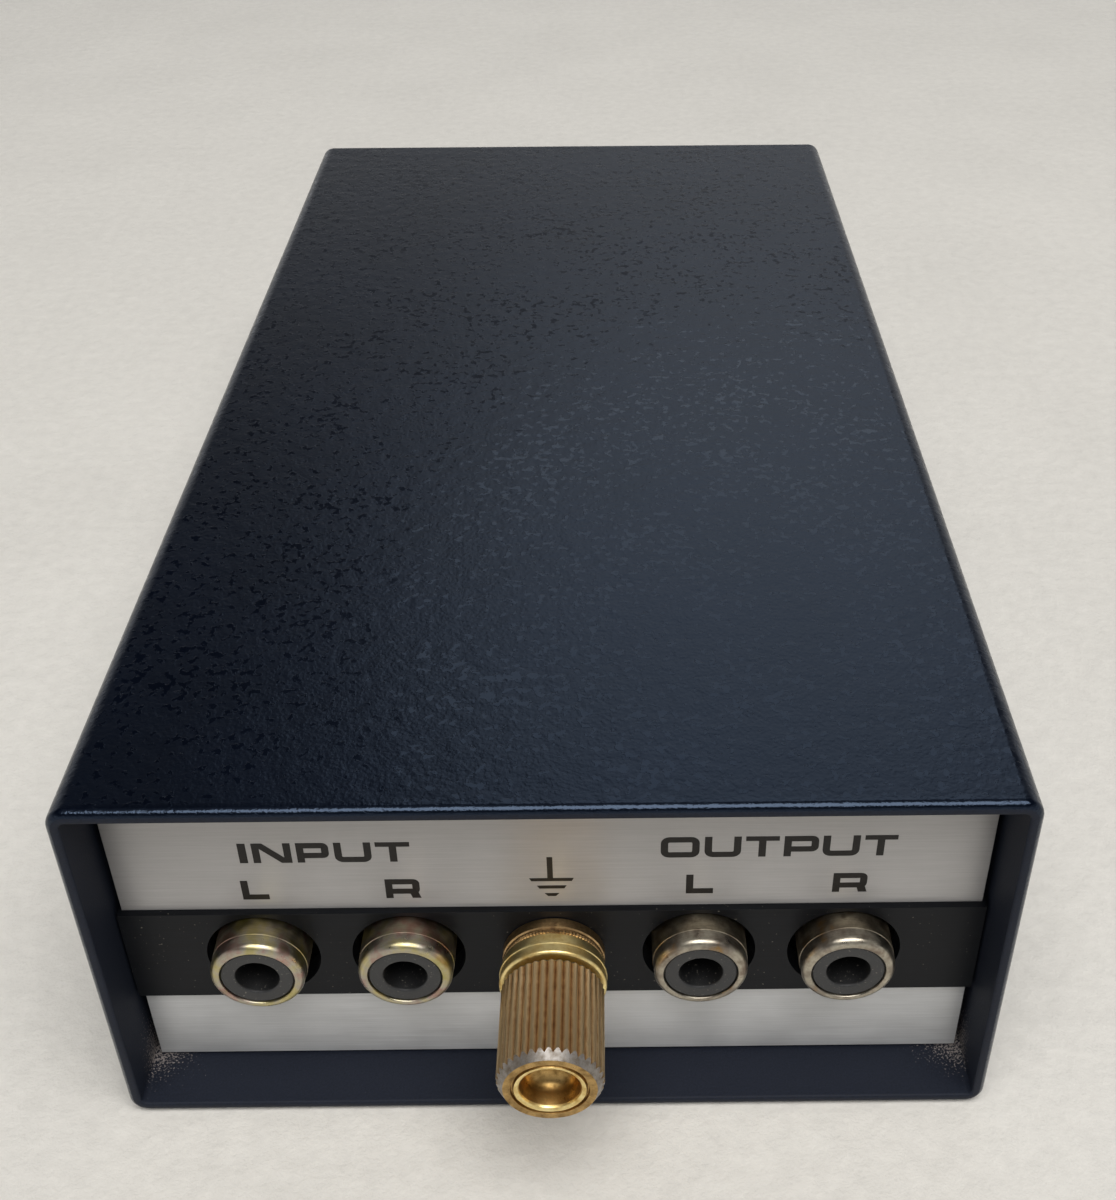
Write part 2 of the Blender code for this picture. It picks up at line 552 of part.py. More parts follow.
def make_lead(name, route, material):
    """A sheathed lead along its route, as a round tube."""
    points = smooth_route(route, 3)
    curve = bpy.data.curves.new(name, "CURVE")
    curve.dimensions = "3D"
    curve.bevel_depth = LEAD_R
    curve.bevel_resolution = 2
    curve.use_fill_caps = True
    spline = curve.splines.new("POLY")
    spline.points.add(len(points) - 1)
    for slot, point in zip(spline.points, points):
        slot.co = (*point, 1.0)
    curve.materials.append(material)
    bpy.context.collection.objects.link(bpy.data.objects.new(name, curve))


def make_leads(materials):
    """One sheathed lead from each socket to its transformer, and the earth lead."""
    tail = BOARD_Y + 6.5 * MM + GAP
    mouth = CAN_Y - CAN_R
    for place_index, name in SOCKET_NAMES.items():
        x = place_index * PITCH
        side = -1 if name.endswith("left") else 1
        output = name.startswith("output")
        end_x = side * CAN_X + (2.2 * MM if output else -2.2 * MM)
        low = (9.5 if output else 5.5) * MM
        route = ((x, tail, SOCKET_Z), (x, tail + 4 * MM, SOCKET_Z - 0.6 * MM),
                 (x + 0.2 * (end_x - x), tail + 11 * MM, low + 2.5 * MM),
                 ((x + end_x) / 2, tail + 20 * MM, low),
                 (end_x - 0.15 * (end_x - x), mouth - 11 * MM, low - 0.5 * MM),
                 (end_x, mouth - 4 * MM, 6.2 * MM), (end_x, mouth + 2.5 * MM, 6.2 * MM))
        make_lead("lead_" + name, route, materials["lead"])
    y = PANEL_BACK + GAP + 0.25 * MM
    foot = POST_Z - 6.2 * MM - GAP
    route = ((0, y + 0.7 * MM, foot - 0.9 * MM), (0, y + 0.9 * MM, foot - 2.6 * MM),
             (1.6 * MM, y + 1.6 * MM, foot - 4.4 * MM), (5 * MM, y + 1.9 * MM, foot - 5.6 * MM),
             (9 * MM, y + 1.9 * MM, foot - 5.8 * MM))
    make_lead("lead_earth", route, materials["earth_lead"])


def main():
    clear_scene()
    materials = make_finishes()
    make_sleeve(materials["sleeve"])
    make_tray(materials["sheet"])
    make_front_panel(materials)
    make_rear_panel(materials)
    make_socket_board(materials)
    for place_index, name in SOCKET_NAMES.items():
        make_socket(name, place_index * PITCH, materials)
    make_earth_terminal(materials)
    for side, name in ((-1, "left"), (1, "right")):
        make_transformer(name, side * CAN_X, materials)
    make_clamp(materials)
    make_case_fasteners(materials)
    make_leads(materials)


main()
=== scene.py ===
"""Looks of a stereo step-up transformer box, over its packed CAD frame.

The frame's origin is the centre of the sleeve's underside, the front faces -Y and +Z is up.
Every piece is made in metres at its own place in that frame.
"""
import json
import math

import bmesh
import bpy
from mathutils import Matrix, Vector


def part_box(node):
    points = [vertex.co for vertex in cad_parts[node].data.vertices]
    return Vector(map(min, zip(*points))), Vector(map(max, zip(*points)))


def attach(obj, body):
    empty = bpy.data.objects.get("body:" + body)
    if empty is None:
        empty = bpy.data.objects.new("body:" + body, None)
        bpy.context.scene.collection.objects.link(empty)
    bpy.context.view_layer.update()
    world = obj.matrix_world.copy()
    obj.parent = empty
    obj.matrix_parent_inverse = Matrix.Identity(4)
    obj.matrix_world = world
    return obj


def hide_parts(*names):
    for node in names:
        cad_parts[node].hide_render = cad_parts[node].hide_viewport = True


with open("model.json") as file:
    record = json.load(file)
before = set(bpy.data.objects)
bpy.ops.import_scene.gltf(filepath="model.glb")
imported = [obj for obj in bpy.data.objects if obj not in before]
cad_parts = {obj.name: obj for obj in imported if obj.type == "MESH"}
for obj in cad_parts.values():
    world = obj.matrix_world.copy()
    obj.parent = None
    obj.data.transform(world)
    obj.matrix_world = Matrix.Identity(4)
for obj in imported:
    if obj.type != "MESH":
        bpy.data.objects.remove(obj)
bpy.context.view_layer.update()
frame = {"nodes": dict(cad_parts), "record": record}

bl_info = {
    "name": "Step-up Transformer Box Looks",
    "version": (1, 0, 0),
    "blender": (4, 5, 0),
    "location": "View3D > Sidebar > Box",
    "description": "Detailed pieces, finishes and stage for a stereo step-up transformer box",
    "category": "Object",
}

MM = 0.001
SOCKETS = ("input_left", "input_right", "output_left", "output_right")

SLEEVE_LOW, SLEEVE_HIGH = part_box("case_sleeve")
PANEL_LOW, PANEL_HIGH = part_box("front_panel")
LABEL_LOW, LABEL_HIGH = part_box("upper_label_plate")
LOWER_LOW, LOWER_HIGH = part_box("lower_label_plate")
REAR_LOW, REAR_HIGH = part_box("rear_panel")
STUD_LOW, STUD_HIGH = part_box("ground_stud")
NUT_LOW, NUT_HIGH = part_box("ground_thumb_nut")
WASHER_LOW, WASHER_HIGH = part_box("ground_clamp_washer")
BAND_Y = PANEL_LOW.y
GAP = 0.3 * MM
BAND_LOW, BAND_HIGH = LOWER_HIGH.z + GAP, LABEL_LOW.z - GAP
BEDDED = 0.01 * MM
SHARP = 32.0
SHELL_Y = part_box("socket_shell_input_left")[0].y
POST = Vector((0.0, BAND_Y, (STUD_LOW.z + STUD_HIGH.z) / 2))


def linear(code):
    """Linear RGBA of an sRGB hex value."""
    channels = [int(code[start:start + 2], 16) / 255 for start in (0, 2, 4)]
    return (*(value / 12.92 if value <= 0.04045 else ((value + 0.055) / 1.055) ** 2.4
              for value in channels), 1.0)


# ---------------------------------------------------------------- settings

def length(name, description, default):
    """A length property."""
    return bpy.props.FloatProperty(name=name, description=description, default=default,
                                   min=0.0, unit="LENGTH", subtype="DISTANCE", precision=5)


def colour(name, description, code):
    """A colour property from an sRGB hex value."""
    return bpy.props.FloatVectorProperty(name=name, description=description, size=4,
                                         default=linear(code), min=0.0, max=1.0,
                                         subtype="COLOR")


def strength(name, description, default):
    """A plain factor."""
    return bpy.props.FloatProperty(name=name, description=description, default=default, min=0.0)


class BoxSleeveSettings(bpy.types.PropertyGroup):
    """Sizes and colours of the painted sleeve."""
    wall: length("Wall", "Thickness of the painted sheet", 1.2 * MM)
    corner: length("Corner", "Outer radius of the folded long corners", 1.8 * MM)
    rim: length("Rim", "Radius of the paint over the outer rim edge", 0.75 * MM)
    island: length("Island", "Usual width of a smooth island in the paint", 0.62 * MM)
    paint: colour("Paint", "Colour of the enamel", "050914")
    inside: colour("Inside", "Colour of the dry overspray inside", "1a1f2b")
    dust: colour("Dust", "Colour of the dust in the lower corners", "9f9691")


class BoxFrontSettings(bpy.types.PropertyGroup):
    """Sizes and colours of the front panel, its label plates and its lettering."""
    hole: length("Hole radius", "Radius of the holes around the sockets", 5.1 * MM)
    drop: length("Hole drop", "How far each hole's centre is below its socket's", 0.6 * MM)
    pen: length("Pen width", "Width of the letters' strokes", 0.64 * MM)
    film: length("Ink film", "Height of the printed ink", 0.02 * MM)
    band: colour("Band", "Colour of the dark band", "111317")
    # One brushed aluminium for both plates: the upper colour is its own, and the lower plate's
    # lighter colour is painted light.
    plate: colour("Upper plate", "Colour of the handled aluminium of the upper plate", "b6b4b3")
    clean: colour("Lower plate", "Colour of the cleaner aluminium of the lower plate", "d2d3d4")
    ink: colour("Ink", "Colour of the lettering", "191614")


class BoxSocketSettings(bpy.types.PropertyGroup):
    """Sizes and colours of the phono sockets."""
    shell: length("Shell radius", "Outer radius of a socket's metal shell", 4.25 * MM)
    bore: length("Bore radius", "Inner radius of the shell", 3.3 * MM)
    pin: length("Pin hole radius", "Radius of the hole for the plug's pin", 1.93 * MM)
    metal: colour("Metal", "Colour of the clean plating", "b9b2a2")
    plastic: colour("Plastic", "Colour of the insulator", "2b2c2e")


class BoxTerminalSettings(bpy.types.PropertyGroup):
    """Sizes and colours of the earth terminal."""
    teeth: bpy.props.IntProperty(name="Teeth", description="Ridges of the straight knurl",
                                 default=38, min=12)
    tip: length("Tip radius", "Radius at the top of a ridge", 4.55 * MM)
    root: length("Root radius", "Radius at the bottom of a groove", 4.32 * MM)
    brass: colour("Brass", "Colour of the polished brass", "f8e4a4")
    ridge: colour("Ridge", "Colour of the worn plating on the knurl", "f0d2a2")


class BoxStageSettings(bpy.types.PropertyGroup):
    """Floor and light."""
    floor: colour("Floor", "Colour of the floor", "e6e3dd")
    key: strength("Key light", "Power of the overhead light, in watts", 16.2)
    side: strength("Side light", "Power of the soft light behind, in watts", 0.9)


SETTINGS = {
    "box_sleeve": BoxSleeveSettings,
    "box_front": BoxFrontSettings,
    "box_sockets": BoxSocketSettings,
    "box_terminal": BoxTerminalSettings,
    "box_stage": BoxStageSettings,
}


# ---------------------------------------------------------------- materials

def add(tree, kind, links=None, **settings):
    """Add a node, set its properties, then fill its sockets with values or with other sockets."""
    node = tree.nodes.new("ShaderNode" + kind)
    stops = settings.pop("stops", None)
    for name, value in settings.items():
        setattr(node, name, value)
    if stops:
        ramp = node.color_ramp.elements
        ramp[0].position, ramp[0].color = stops[0]
        ramp[-1].position, ramp[-1].color = stops[-1]
        for position, shade in stops[1:-1]:
            ramp.new(position).color = shade
    for name, value in (links or {}).items():
        if isinstance(value, bpy.types.NodeSocket):
            tree.links.new(value, node.inputs[name])
        else:
            node.inputs[name].default_value = value
    return node


def grey(value):
    """An opaque grey for a colour ramp."""
    return (value, value, value, 1.0)


def new_material(name, **sockets):
    """A material with its Principled shader's sockets set; gives its tree, shader and coordinates."""
    material = bpy.data.materials.new(name)
    material.use_nodes = True
    tree = material.node_tree
    shader = tree.nodes["Principled BSDF"]
    for socket, value in sockets.items():
        shader.inputs[socket.replace("_", " ")].default_value = value
    return material, tree, shader, add(tree, "TexCoord").outputs["Object"]


def shared(name, make, *details):
    """A finish by its name, made when it is first asked for."""
    return bpy.data.materials.get(name) or make(*details)


def hammer_enamel(settings):
    """Hammer-finish enamel sprayed on sheet steel.

    Smooth flat islands lie in a finely pebbled field: the islands mirror the room, the field
    blurs it, so that the islands look darker on one side of the box and lighter on the other.
    """
    material, tree, shader, place = new_material("hammer_finish_enamel",
                                                 Specular_Tint=(0.5, 0.68, 1.0, 1.0))
    islands = add(tree, "TexNoise", {"Vector": place, "Scale": 0.75 / settings.island,
                                     "Detail": 4.0, "Roughness": 0.55, "Distortion": 0.2})
    gather = add(tree, "TexNoise", {"Vector": place, "Scale": 1 / (9 * MM), "Detail": 3.0})
    crowd = add(tree, "Math", {0: gather.outputs["Fac"], 1: 0.22, 2: islands.outputs["Fac"]},
                operation="MULTIPLY_ADD")
    island = add(tree, "MapRange", {"Value": crowd.outputs[0], "From Min": 0.675,
                                    "From Max": 0.71}, interpolation_type="SMOOTHSTEP")
    pebble = add(tree, "TexNoise", {"Vector": place, "Scale": 1 / (0.36 * MM), "Detail": 2.0,
                                    "Roughness": 0.5})
    swell = add(tree, "TexNoise", {"Vector": place, "Scale": 1 / (1.7 * MM), "Detail": 1.0})
    field = add(tree, "Mix", {0: island.outputs[0], 2: pebble.outputs["Fac"], 3: 0.6},
                data_type="FLOAT")
    height = add(tree, "Math", {0: swell.outputs["Fac"], 1: 1.3, 2: field.outputs[0]},
                 operation="MULTIPLY_ADD")
    bump = add(tree, "Bump", {"Height": height.outputs[0], "Strength": 0.75,
                              "Distance": 0.05 * MM})
    sheen = add(tree, "MapRange", {"Value": island.outputs[0], "To Min": 0.28, "To Max": 0.1})
    where = add(tree, "SeparateXYZ", {0: place})
    lip = add(tree, "MapRange", {"Value": where.outputs["Y"],
                                 "From Min": SLEEVE_LOW.y + 1.6 * settings.rim,
                                 "From Max": SLEEVE_LOW.y + 0.9 * settings.rim})
    gloss = add(tree, "Mix", {0: lip.outputs[0], 2: sheen.outputs[0], 3: 0.17},
                data_type="FLOAT")
    tint = add(tree, "TexNoise", {"Vector": place, "Scale": 1 / (14 * MM), "Detail": 3.0})
    deep = [channel * 0.72 for channel in settings.paint[:3]] + [1.0]
    body = add(tree, "ValToRGB", {0: tint.outputs["Fac"]},
               stops=((0.35, deep), (0.65, settings.paint[:])))
    tree.links.new(body.outputs[0], shader.inputs["Base Color"])
    tree.links.new(gloss.outputs[0], shader.inputs["Roughness"])
    tree.links.new(bump.outputs[0], shader.inputs["Normal"])
    return material


def dry_enamel(settings):
    """Overspray of the same enamel on the sleeve's inside and cut ends: matte and grainy, with
    lint and dust gathered in the lower corners, where the panel meets the sleeve."""
    material, tree, shader, place = new_material("dry_enamel_overspray",
                                                 Specular_IOR_Level=0.2)
    where = add(tree, "SeparateXYZ", {0: place})
    across = add(tree, "Math", {0: where.outputs["X"]}, operation="ABSOLUTE")
    spans = ((across.outputs[0], SLEEVE_HIGH.x - 8 * MM, SLEEVE_HIGH.x - 2 * MM),
             (where.outputs["Y"], LABEL_LOW.y - 5 * MM, LABEL_LOW.y - 0.5 * MM),
             (where.outputs["Z"], 12 * MM, 1.5 * MM))
    corner = 1.0
    for value, far, near in spans:
        span = add(tree, "MapRange", {"Value": value, "From Min": far, "From Max": near})
        corner = add(tree, "Math", {0: span.outputs[0], 1: corner},
                     operation="MULTIPLY").outputs[0]
    specks = add(tree, "TexNoise", {"Vector": place, "Scale": 1 / (0.2 * MM), "Detail": 2.5,
                                    "Roughness": 0.6})
    drift = add(tree, "TexNoise", {"Vector": place, "Scale": 1 / (1.6 * MM), "Detail": 3.0})
    thrown = add(tree, "Math", {0: drift.outputs["Fac"], 1: 0.12, 2: specks.outputs["Fac"]},
                 operation="MULTIPLY_ADD")
    level = add(tree, "Math", {0: corner, 1: 0.3, 2: thrown.outputs[0]},
                operation="MULTIPLY_ADD")
    dust = add(tree, "MapRange", {"Value": level.outputs[0], "From Min": 0.82,
                                  "From Max": 0.88, "To Max": 0.7})
    dark, light = ([channel * factor for channel in settings.inside[:3]] + [1.0]
                   for factor in (0.8, 1.25))
    body = add(tree, "ValToRGB", {0: specks.outputs["Fac"]},
               stops=((0.35, dark), (0.65, light)))
    shade = add(tree, "Mix", {0: dust.outputs[0], 6: body.outputs[0], 7: settings.dust[:]},
                data_type="RGBA")
    gloss = add(tree, "MapRange", {"Value": specks.outputs["Fac"], "To Min": 0.5,
                                   "To Max": 0.75})
    bump = add(tree, "Bump", {"Height": level.outputs[0], "Strength": 0.5,
                              "Distance": 0.05 * MM})
    tree.links.new(shade.outputs[2], shader.inputs["Base Color"])
    tree.links.new(gloss.outputs[0], shader.inputs["Roughness"])
    tree.links.new(bump.outputs[0], shader.inputs["Normal"])
    return material


def brushed_aluminium(name, shade):
    """Aluminium sheet brushed lengthways under clear lacquer: fine level lines over a soft grey
    sheen, a little clouded by handling."""
    material, tree, shader, place = new_material(name, Metallic=0.6, Anisotropic=0.8,
                                                 Anisotropic_Rotation=0.25)
    along = add(tree, "Mapping", {"Vector": place, "Scale": (0.012, 1.0, 1.0)})
    lines = add(tree, "TexNoise", {"Vector": along.outputs[0], "Scale": 1 / (0.09 * MM),
                                   "Detail": 3.0, "Roughness": 0.7})
    cloud = add(tree, "TexNoise", {"Vector": place, "Scale": 1 / (6 * MM), "Detail": 4.0})
    mixed = add(tree, "Math", {0: cloud.outputs["Fac"], 1: 0.5, 2: lines.outputs["Fac"]},
                operation="MULTIPLY_ADD")
    dark = [channel * 0.86 for channel in shade[:3]] + [1.0]
    light = [min(1.0, channel * 1.08) for channel in shade[:3]] + [1.0]
    tone = add(tree, "ValToRGB", {0: mixed.outputs[0]}, stops=((0.5, dark), (1.0, light)))
    gloss = add(tree, "MapRange", {"Value": mixed.outputs[0], "From Min": 0.5, "From Max": 1.0,
                                   "To Min": 0.4, "To Max": 0.54})
    bump = add(tree, "Bump", {"Height": lines.outputs["Fac"], "Strength": 0.25,
                              "Distance": 0.012 * MM})
    tree.links.new(tone.outputs[0], shader.inputs["Base Color"])
    tree.links.new(gloss.outputs[0], shader.inputs["Roughness"])
    tree.links.new(bump.outputs[0], shader.inputs["Normal"])
    return material


def satin_anodising(shade):
    """Black anodising on brushed aluminium: satin, with faint level lines and pale dust."""
    material, tree, shader, place = new_material("black_satin_anodising",
                                                 Specular_IOR_Level=0.15)
    along = add(tree, "Mapping", {"Vector": place, "Scale": (0.02, 1.0, 1.0)})
    lines = add(tree, "TexNoise", {"Vector": along.outputs[0], "Scale": 1 / (0.14 * MM),
                                   "Detail": 3.0})
    specks = add(tree, "TexNoise", {"Vector": place, "Scale": 1 / (0.28 * MM), "Detail": 1.0})
    cloud = add(tree, "TexNoise", {"Vector": place, "Scale": 1 / (7 * MM), "Detail": 2.0})
    spread = add(tree, "Math", {0: cloud.outputs["Fac"], 1: 0.16, 2: specks.outputs["Fac"]},
                 operation="MULTIPLY_ADD")
    dust = add(tree, "MapRange", {"Value": spread.outputs[0], "From Min": 0.83,
                                  "From Max": 0.9, "To Max": 0.7})
    dark = [channel * 0.75 for channel in shade[:3]] + [1.0]
    light = [channel * 1.3 for channel in shade[:3]] + [1.0]
    tone = add(tree, "ValToRGB", {0: lines.outputs["Fac"]}, stops=((0.3, dark), (0.7, light)))
    body = add(tree, "Mix", {0: dust.outputs[0], 6: tone.outputs[0], 7: linear("8f897e")},
               data_type="RGBA")
    gloss = add(tree, "MapRange", {"Value": lines.outputs["Fac"], "To Min": 0.28,
                                   "To Max": 0.5})
    bump = add(tree, "Bump", {"Height": lines.outputs["Fac"], "Strength": 0.35,
                              "Distance": 0.01 * MM})
    tree.links.new(body.outputs[2], shader.inputs["Base Color"])
    tree.links.new(gloss.outputs[0], shader.inputs["Roughness"])
    tree.links.new(bump.outputs[0], shader.inputs["Normal"])
    return material


def screen_ink(shade):
    """Screen-printed ink: flat and slightly uneven, with a soft shine."""
    material, tree, shader, place = new_material("screen_printed_ink", Roughness=0.5,
                                                 Specular_IOR_Level=0.3)
    grain = add(tree, "TexNoise", {"Vector": place, "Scale": 1 / (0.18 * MM), "Detail": 2.0})
    thin = [min(1.0, channel * 1.9) for channel in shade[:3]] + [1.0]
    tone = add(tree, "ValToRGB", {0: grain.outputs["Fac"]}, stops=((0.5, shade[:]), (0.75, thin)))
    tree.links.new(tone.outputs[0], shader.inputs["Base Color"])
    return material


def tarnished_nickel(shade):
    """Nickel plate on turned brass, old and handled: turning lines round it, a yellow and pink
    bloom on the input side, and a browner bloom with brassy worn spots on the output side. The
    nose is polished by plugs, the barrel behind it is dull."""
    material, tree, shader, place = new_material("tarnished_nickel_plate", Metallic=1.0)
    where = add(tree, "SeparateXYZ", {0: place})
    turned = add(tree, "Mapping", {"Vector": place, "Scale": (0.04, 1.0, 0.04)})
    lines = add(tree, "TexNoise", {"Vector": turned.outputs[0], "Scale": 1 / (0.11 * MM),
                                   "Detail": 3.0})
    bloom = add(tree, "TexNoise", {"Vector": place, "Scale": 1 / (3.2 * MM), "Detail": 4.0,
                                   "Roughness": 0.6})
    left = add(tree, "ValToRGB", {0: bloom.outputs["Fac"]},
               stops=((0.3, linear("b3a95f")), (0.43, linear("c3b88b")), (0.52, shade[:]),
                      (0.6, linear("b5958a")), (0.72, linear("98906f"))))
    right = add(tree, "ValToRGB", {0: bloom.outputs["Fac"]},
                stops=((0.3, linear("9a7a4c")), (0.42, linear("8e8478")), (0.55, shade[:]),
                       (0.64, linear("8a7d70")), (0.74, linear("7a6650"))))
    side = add(tree, "MapRange", {"Value": where.outputs["X"], "From Min": -5 * MM,
                                  "From Max": 5 * MM})
    tone = add(tree, "Mix", {0: side.outputs[0], 6: left.outputs[0], 7: right.outputs[0]},
               data_type="RGBA")
    fine = add(tree, "ValToRGB", {0: lines.outputs["Fac"]},
               stops=((0.3, grey(0.7)), (0.6, grey(1.0))))
    lined = add(tree, "Mix", {0: 0.6, 6: tone.outputs[2], 7: fine.outputs[0]},
                data_type="RGBA", blend_type="MULTIPLY")
    worn = add(tree, "TexNoise", {"Vector": place, "Scale": 1 / (1.1 * MM), "Detail": 5.0})
    gloss = add(tree, "MapRange", {"Value": worn.outputs["Fac"], "From Min": 0.35,
                                   "From Max": 0.7, "To Min": 0.27, "To Max": 0.44})
    bump = add(tree, "Bump", {"Height": lines.outputs["Fac"], "Strength": 0.5,
                              "Distance": 0.012 * MM})
    barrel = add(tree, "MapRange", {"Value": where.outputs["Y"], "From Min": SHELL_Y + 1.4 * MM,
                                    "From Max": SHELL_Y + 1.6 * MM})
    dull = add(tree, "Mix", {0: barrel.outputs[0], 6: lined.outputs[2], 7: linear("ece6da")},
               data_type="RGBA", blend_type="MULTIPLY")
    rough = add(tree, "Math", {0: barrel.outputs[0], 1: 0.05, 2: gloss.outputs[0]},
                operation="MULTIPLY_ADD")
    tree.links.new(dull.outputs[2], shader.inputs["Base Color"])
    tree.links.new(rough.outputs[0], shader.inputs["Roughness"])
    tree.links.new(bump.outputs[0], shader.inputs["Normal"])
    return material


def moulded_plastic(name, shade, roughness=0.42):
    """Moulded phenolic plastic: dark, satin, with a fine grain and a little pale dust."""
    material, tree, shader, place = new_material(name)
    grain = add(tree, "TexNoise", {"Vector": place, "Scale": 1 / (0.2 * MM), "Detail": 3.0})
    dark = [channel * 0.75 for channel in shade[:3]] + [1.0]
    tone = add(tree, "ValToRGB", {0: grain.outputs["Fac"]},
               stops=((0.35, dark), (0.66, shade[:]), (0.74, linear("77726a"))))
    gloss = add(tree, "MapRange", {"Value": grain.outputs["Fac"], "To Min": roughness - 0.12,
                                   "To Max": roughness + 0.15})
    bump = add(tree, "Bump", {"Height": grain.outputs["Fac"], "Strength": 0.3,
                              "Distance": 0.01 * MM})
    tree.links.new(tone.outputs[0], shader.inputs["Base Color"])
    tree.links.new(gloss.outputs[0], shader.inputs["Roughness"])
    tree.links.new(bump.outputs[0], shader.inputs["Normal"])
    return material


def turned_metal(name, shade, stain, roughness=0.22, stretch=(0.04, 1.0, 0.04), pitch=0.1,
                 patch=1.6):
    """A machined metal: fine tool lines along one direction, and a duller stain in patches.

    pitch is the spacing of the tool lines and patch the size of a stain, both in millimetres.
    """
    material, tree, shader, place = new_material(name, Metallic=1.0)
    tool = add(tree, "Mapping", {"Vector": place, "Scale": stretch})
    lines = add(tree, "TexNoise", {"Vector": tool.outputs[0], "Scale": 1 / (pitch * MM),
                                   "Detail": 3.0})
    age = add(tree, "TexNoise", {"Vector": place, "Scale": 1 / (patch * MM), "Detail": 5.0,
                                 "Roughness": 0.65})
    tone = add(tree, "ValToRGB", {0: age.outputs["Fac"]}, stops=((0.42, shade), (0.68, stain)))
    gloss = add(tree, "MapRange", {"Value": age.outputs["Fac"], "From Min": 0.35,
                                   "From Max": 0.7, "To Min": roughness,
                                   "To Max": roughness + 0.22})
    bump = add(tree, "Bump", {"Height": lines.outputs["Fac"], "Strength": 0.3,
                              "Distance": 0.012 * MM})
    tree.links.new(tone.outputs[0], shader.inputs["Base Color"])
    tree.links.new(gloss.outputs[0], shader.inputs["Roughness"])
    tree.links.new(bump.outputs[0], shader.inputs["Normal"])
    return material


def zinc_steel():
    """Bright zinc plate on steel screws, greyed by handling."""
    return turned_metal("zinc_plated_steel", linear("c2c3bf"), linear("8d8b80"), 0.25,
                        (1.0, 1.0, 1.0), 0.15, 0.8)


def knurled_plating(shade, tip, root):
    """Worn plating on a straight knurl: the ridges are rubbed to a pinkish brass, and the colour
    turns a darker brown towards the roots of the grooves."""
    material, tree, shader, place = new_material("worn_knurled_brass", Metallic=1.0)
    centred = add(tree, "Mapping", {"Vector": place, "Location": (0.0, 0.0, -POST.z),
                                    "Scale": (1.0, 0.0, 1.0)})
    radius = add(tree, "VectorMath", {0: centred.outputs[0]}, operation="LENGTH")
    ridge = add(tree, "MapRange", {"Value": radius.outputs["Value"], "From Min": root,
                                   "From Max": tip})
    wear = add(tree, "TexNoise", {"Vector": place, "Scale": 1 / (0.9 * MM), "Detail": 4.0})
    level = add(tree, "Math", {0: wear.outputs["Fac"], 1: 0.7, 2: ridge.outputs[0]},
                operation="MULTIPLY_ADD")
    tone = add(tree, "ValToRGB", {0: level.outputs[0]},
               stops=((0.25, linear("7d5c3a")), (0.7, linear("cfa777")), (1.0, shade[:])))
    gloss = add(tree, "MapRange", {"Value": level.outputs[0], "From Min": 0.3,
                                   "From Max": 1.3, "To Min": 0.5, "To Max": 0.32})
    tree.links.new(tone.outputs[0], shader.inputs["Base Color"])
    tree.links.new(gloss.outputs[0], shader.inputs["Roughness"])
    return material


def wound_wire():
    """Enamelled copper wire wound in level rows, with painted shade darkening it between the round
    wires.
    """
    material, tree, shader, place = new_material("enamelled_copper_wire", Metallic=0.8,
                                                 Roughness=0.3)
    rows = add(tree, "TexWave", {"Vector": place, "Scale": 1 / (6.3 * 0.2 * MM),
                                 "Distortion": 0.6}, bands_direction="Z")
    # Dark brown between the rows, copper on their crowns: painted shade of round wire.
    tone = add(tree, "ValToRGB", {0: rows.outputs["Fac"]},
               stops=((0.0, linear("4a1c0c")), (1.0, linear("b4622f"))))
    tree.links.new(tone.outputs[0], shader.inputs["Base Color"])
    return material


def laminations():
    """Core laminations, stamped and stacked: thin dark edges side by side."""
    material, tree, shader, place = new_material("stamped_laminations", Metallic=1.0,
                                                 Roughness=0.45)
    sheets = add(tree, "TexWave", {"Vector": place, "Scale": 1 / (6.3 * 0.35 * MM),
                                   "Distortion": 0.2}, bands_direction="Y")
    tone = add(tree, "ValToRGB", {0: sheets.outputs["Fac"]},
               stops=((0.0, linear("2c2b2a")), (1.0, linear("8b8780"))))
    tree.links.new(tone.outputs[0], shader.inputs["Base Color"])
    return material


def floor_felt(shade):
    """Pale wool felt: matte, with a short uneven nap."""
    material, tree, shader, place = new_material("pale_felt", Roughness=0.95,
                                                 Specular_IOR_Level=0.2)
    nap = add(tree, "TexNoise", {"Vector": place, "Scale": 1 / (2.2 * MM), "Detail": 6.0,
                                 "Roughness": 0.65})
    cloud = add(tree, "TexNoise", {"Vector": place, "Scale": 1 / (30 * MM), "Detail": 3.0})
    level = add(tree, "Math", {0: cloud.outputs["Fac"], 1: 0.5, 2: nap.outputs["Fac"]},
                operation="MULTIPLY_ADD")
    dark = [channel * 0.9 for channel in shade[:3]] + [1.0]
    tone = add(tree, "ValToRGB", {0: level.outputs[0]}, stops=((0.5, dark), (0.95, shade[:])))
    bump = add(tree, "Bump", {"Height": nap.outputs["Fac"], "Strength": 0.6,
                              "Distance": 0.5 * MM})
    tree.links.new(tone.outputs[0], shader.inputs["Base Color"])
    tree.links.new(bump.outputs[0], shader.inputs["Normal"])
    return material


# ---------------------------------------------------------------- meshes

def publish(name, bm, materials, body, nodes=(), angle=SHARP):
    """Close a bmesh up, make it a named piece that rides on a body, and hide what it replaces."""
    bmesh.ops.remove_doubles(bm, verts=bm.verts, dist=0.001 * MM)
    bmesh.ops.recalc_face_normals(bm, faces=bm.faces)
    mesh = bpy.data.meshes.new(name)
    bm.to_mesh(mesh)
    bm.free()
    mesh.shade_smooth()
    mesh.set_sharp_from_angle(angle=math.radians(angle))
    for material in materials:
        mesh.materials.append(material)
    piece = bpy.data.objects.new(name, mesh)
    bpy.context.collection.objects.link(piece)
    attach(piece, body)
    if nodes:
        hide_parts(*nodes)
    return piece


def even_shading(piece):
    """Keep large flat faces flat where they run into a rounded edge."""
    weighted = piece.modifiers.new("even_shading", "WEIGHTED_NORMAL")
    weighted.keep_sharp = True


def block(bm, low, high):
    """Add a cuboid between two corners and give its vertices."""
    low, high = Vector(low), Vector(high)
    verts = bmesh.ops.create_cube(bm, size=1.0)["verts"]
    bmesh.ops.scale(bm, verts=verts, vec=high - low)
    bmesh.ops.translate(bm, verts=verts, vec=(low + high) / 2)
    return verts


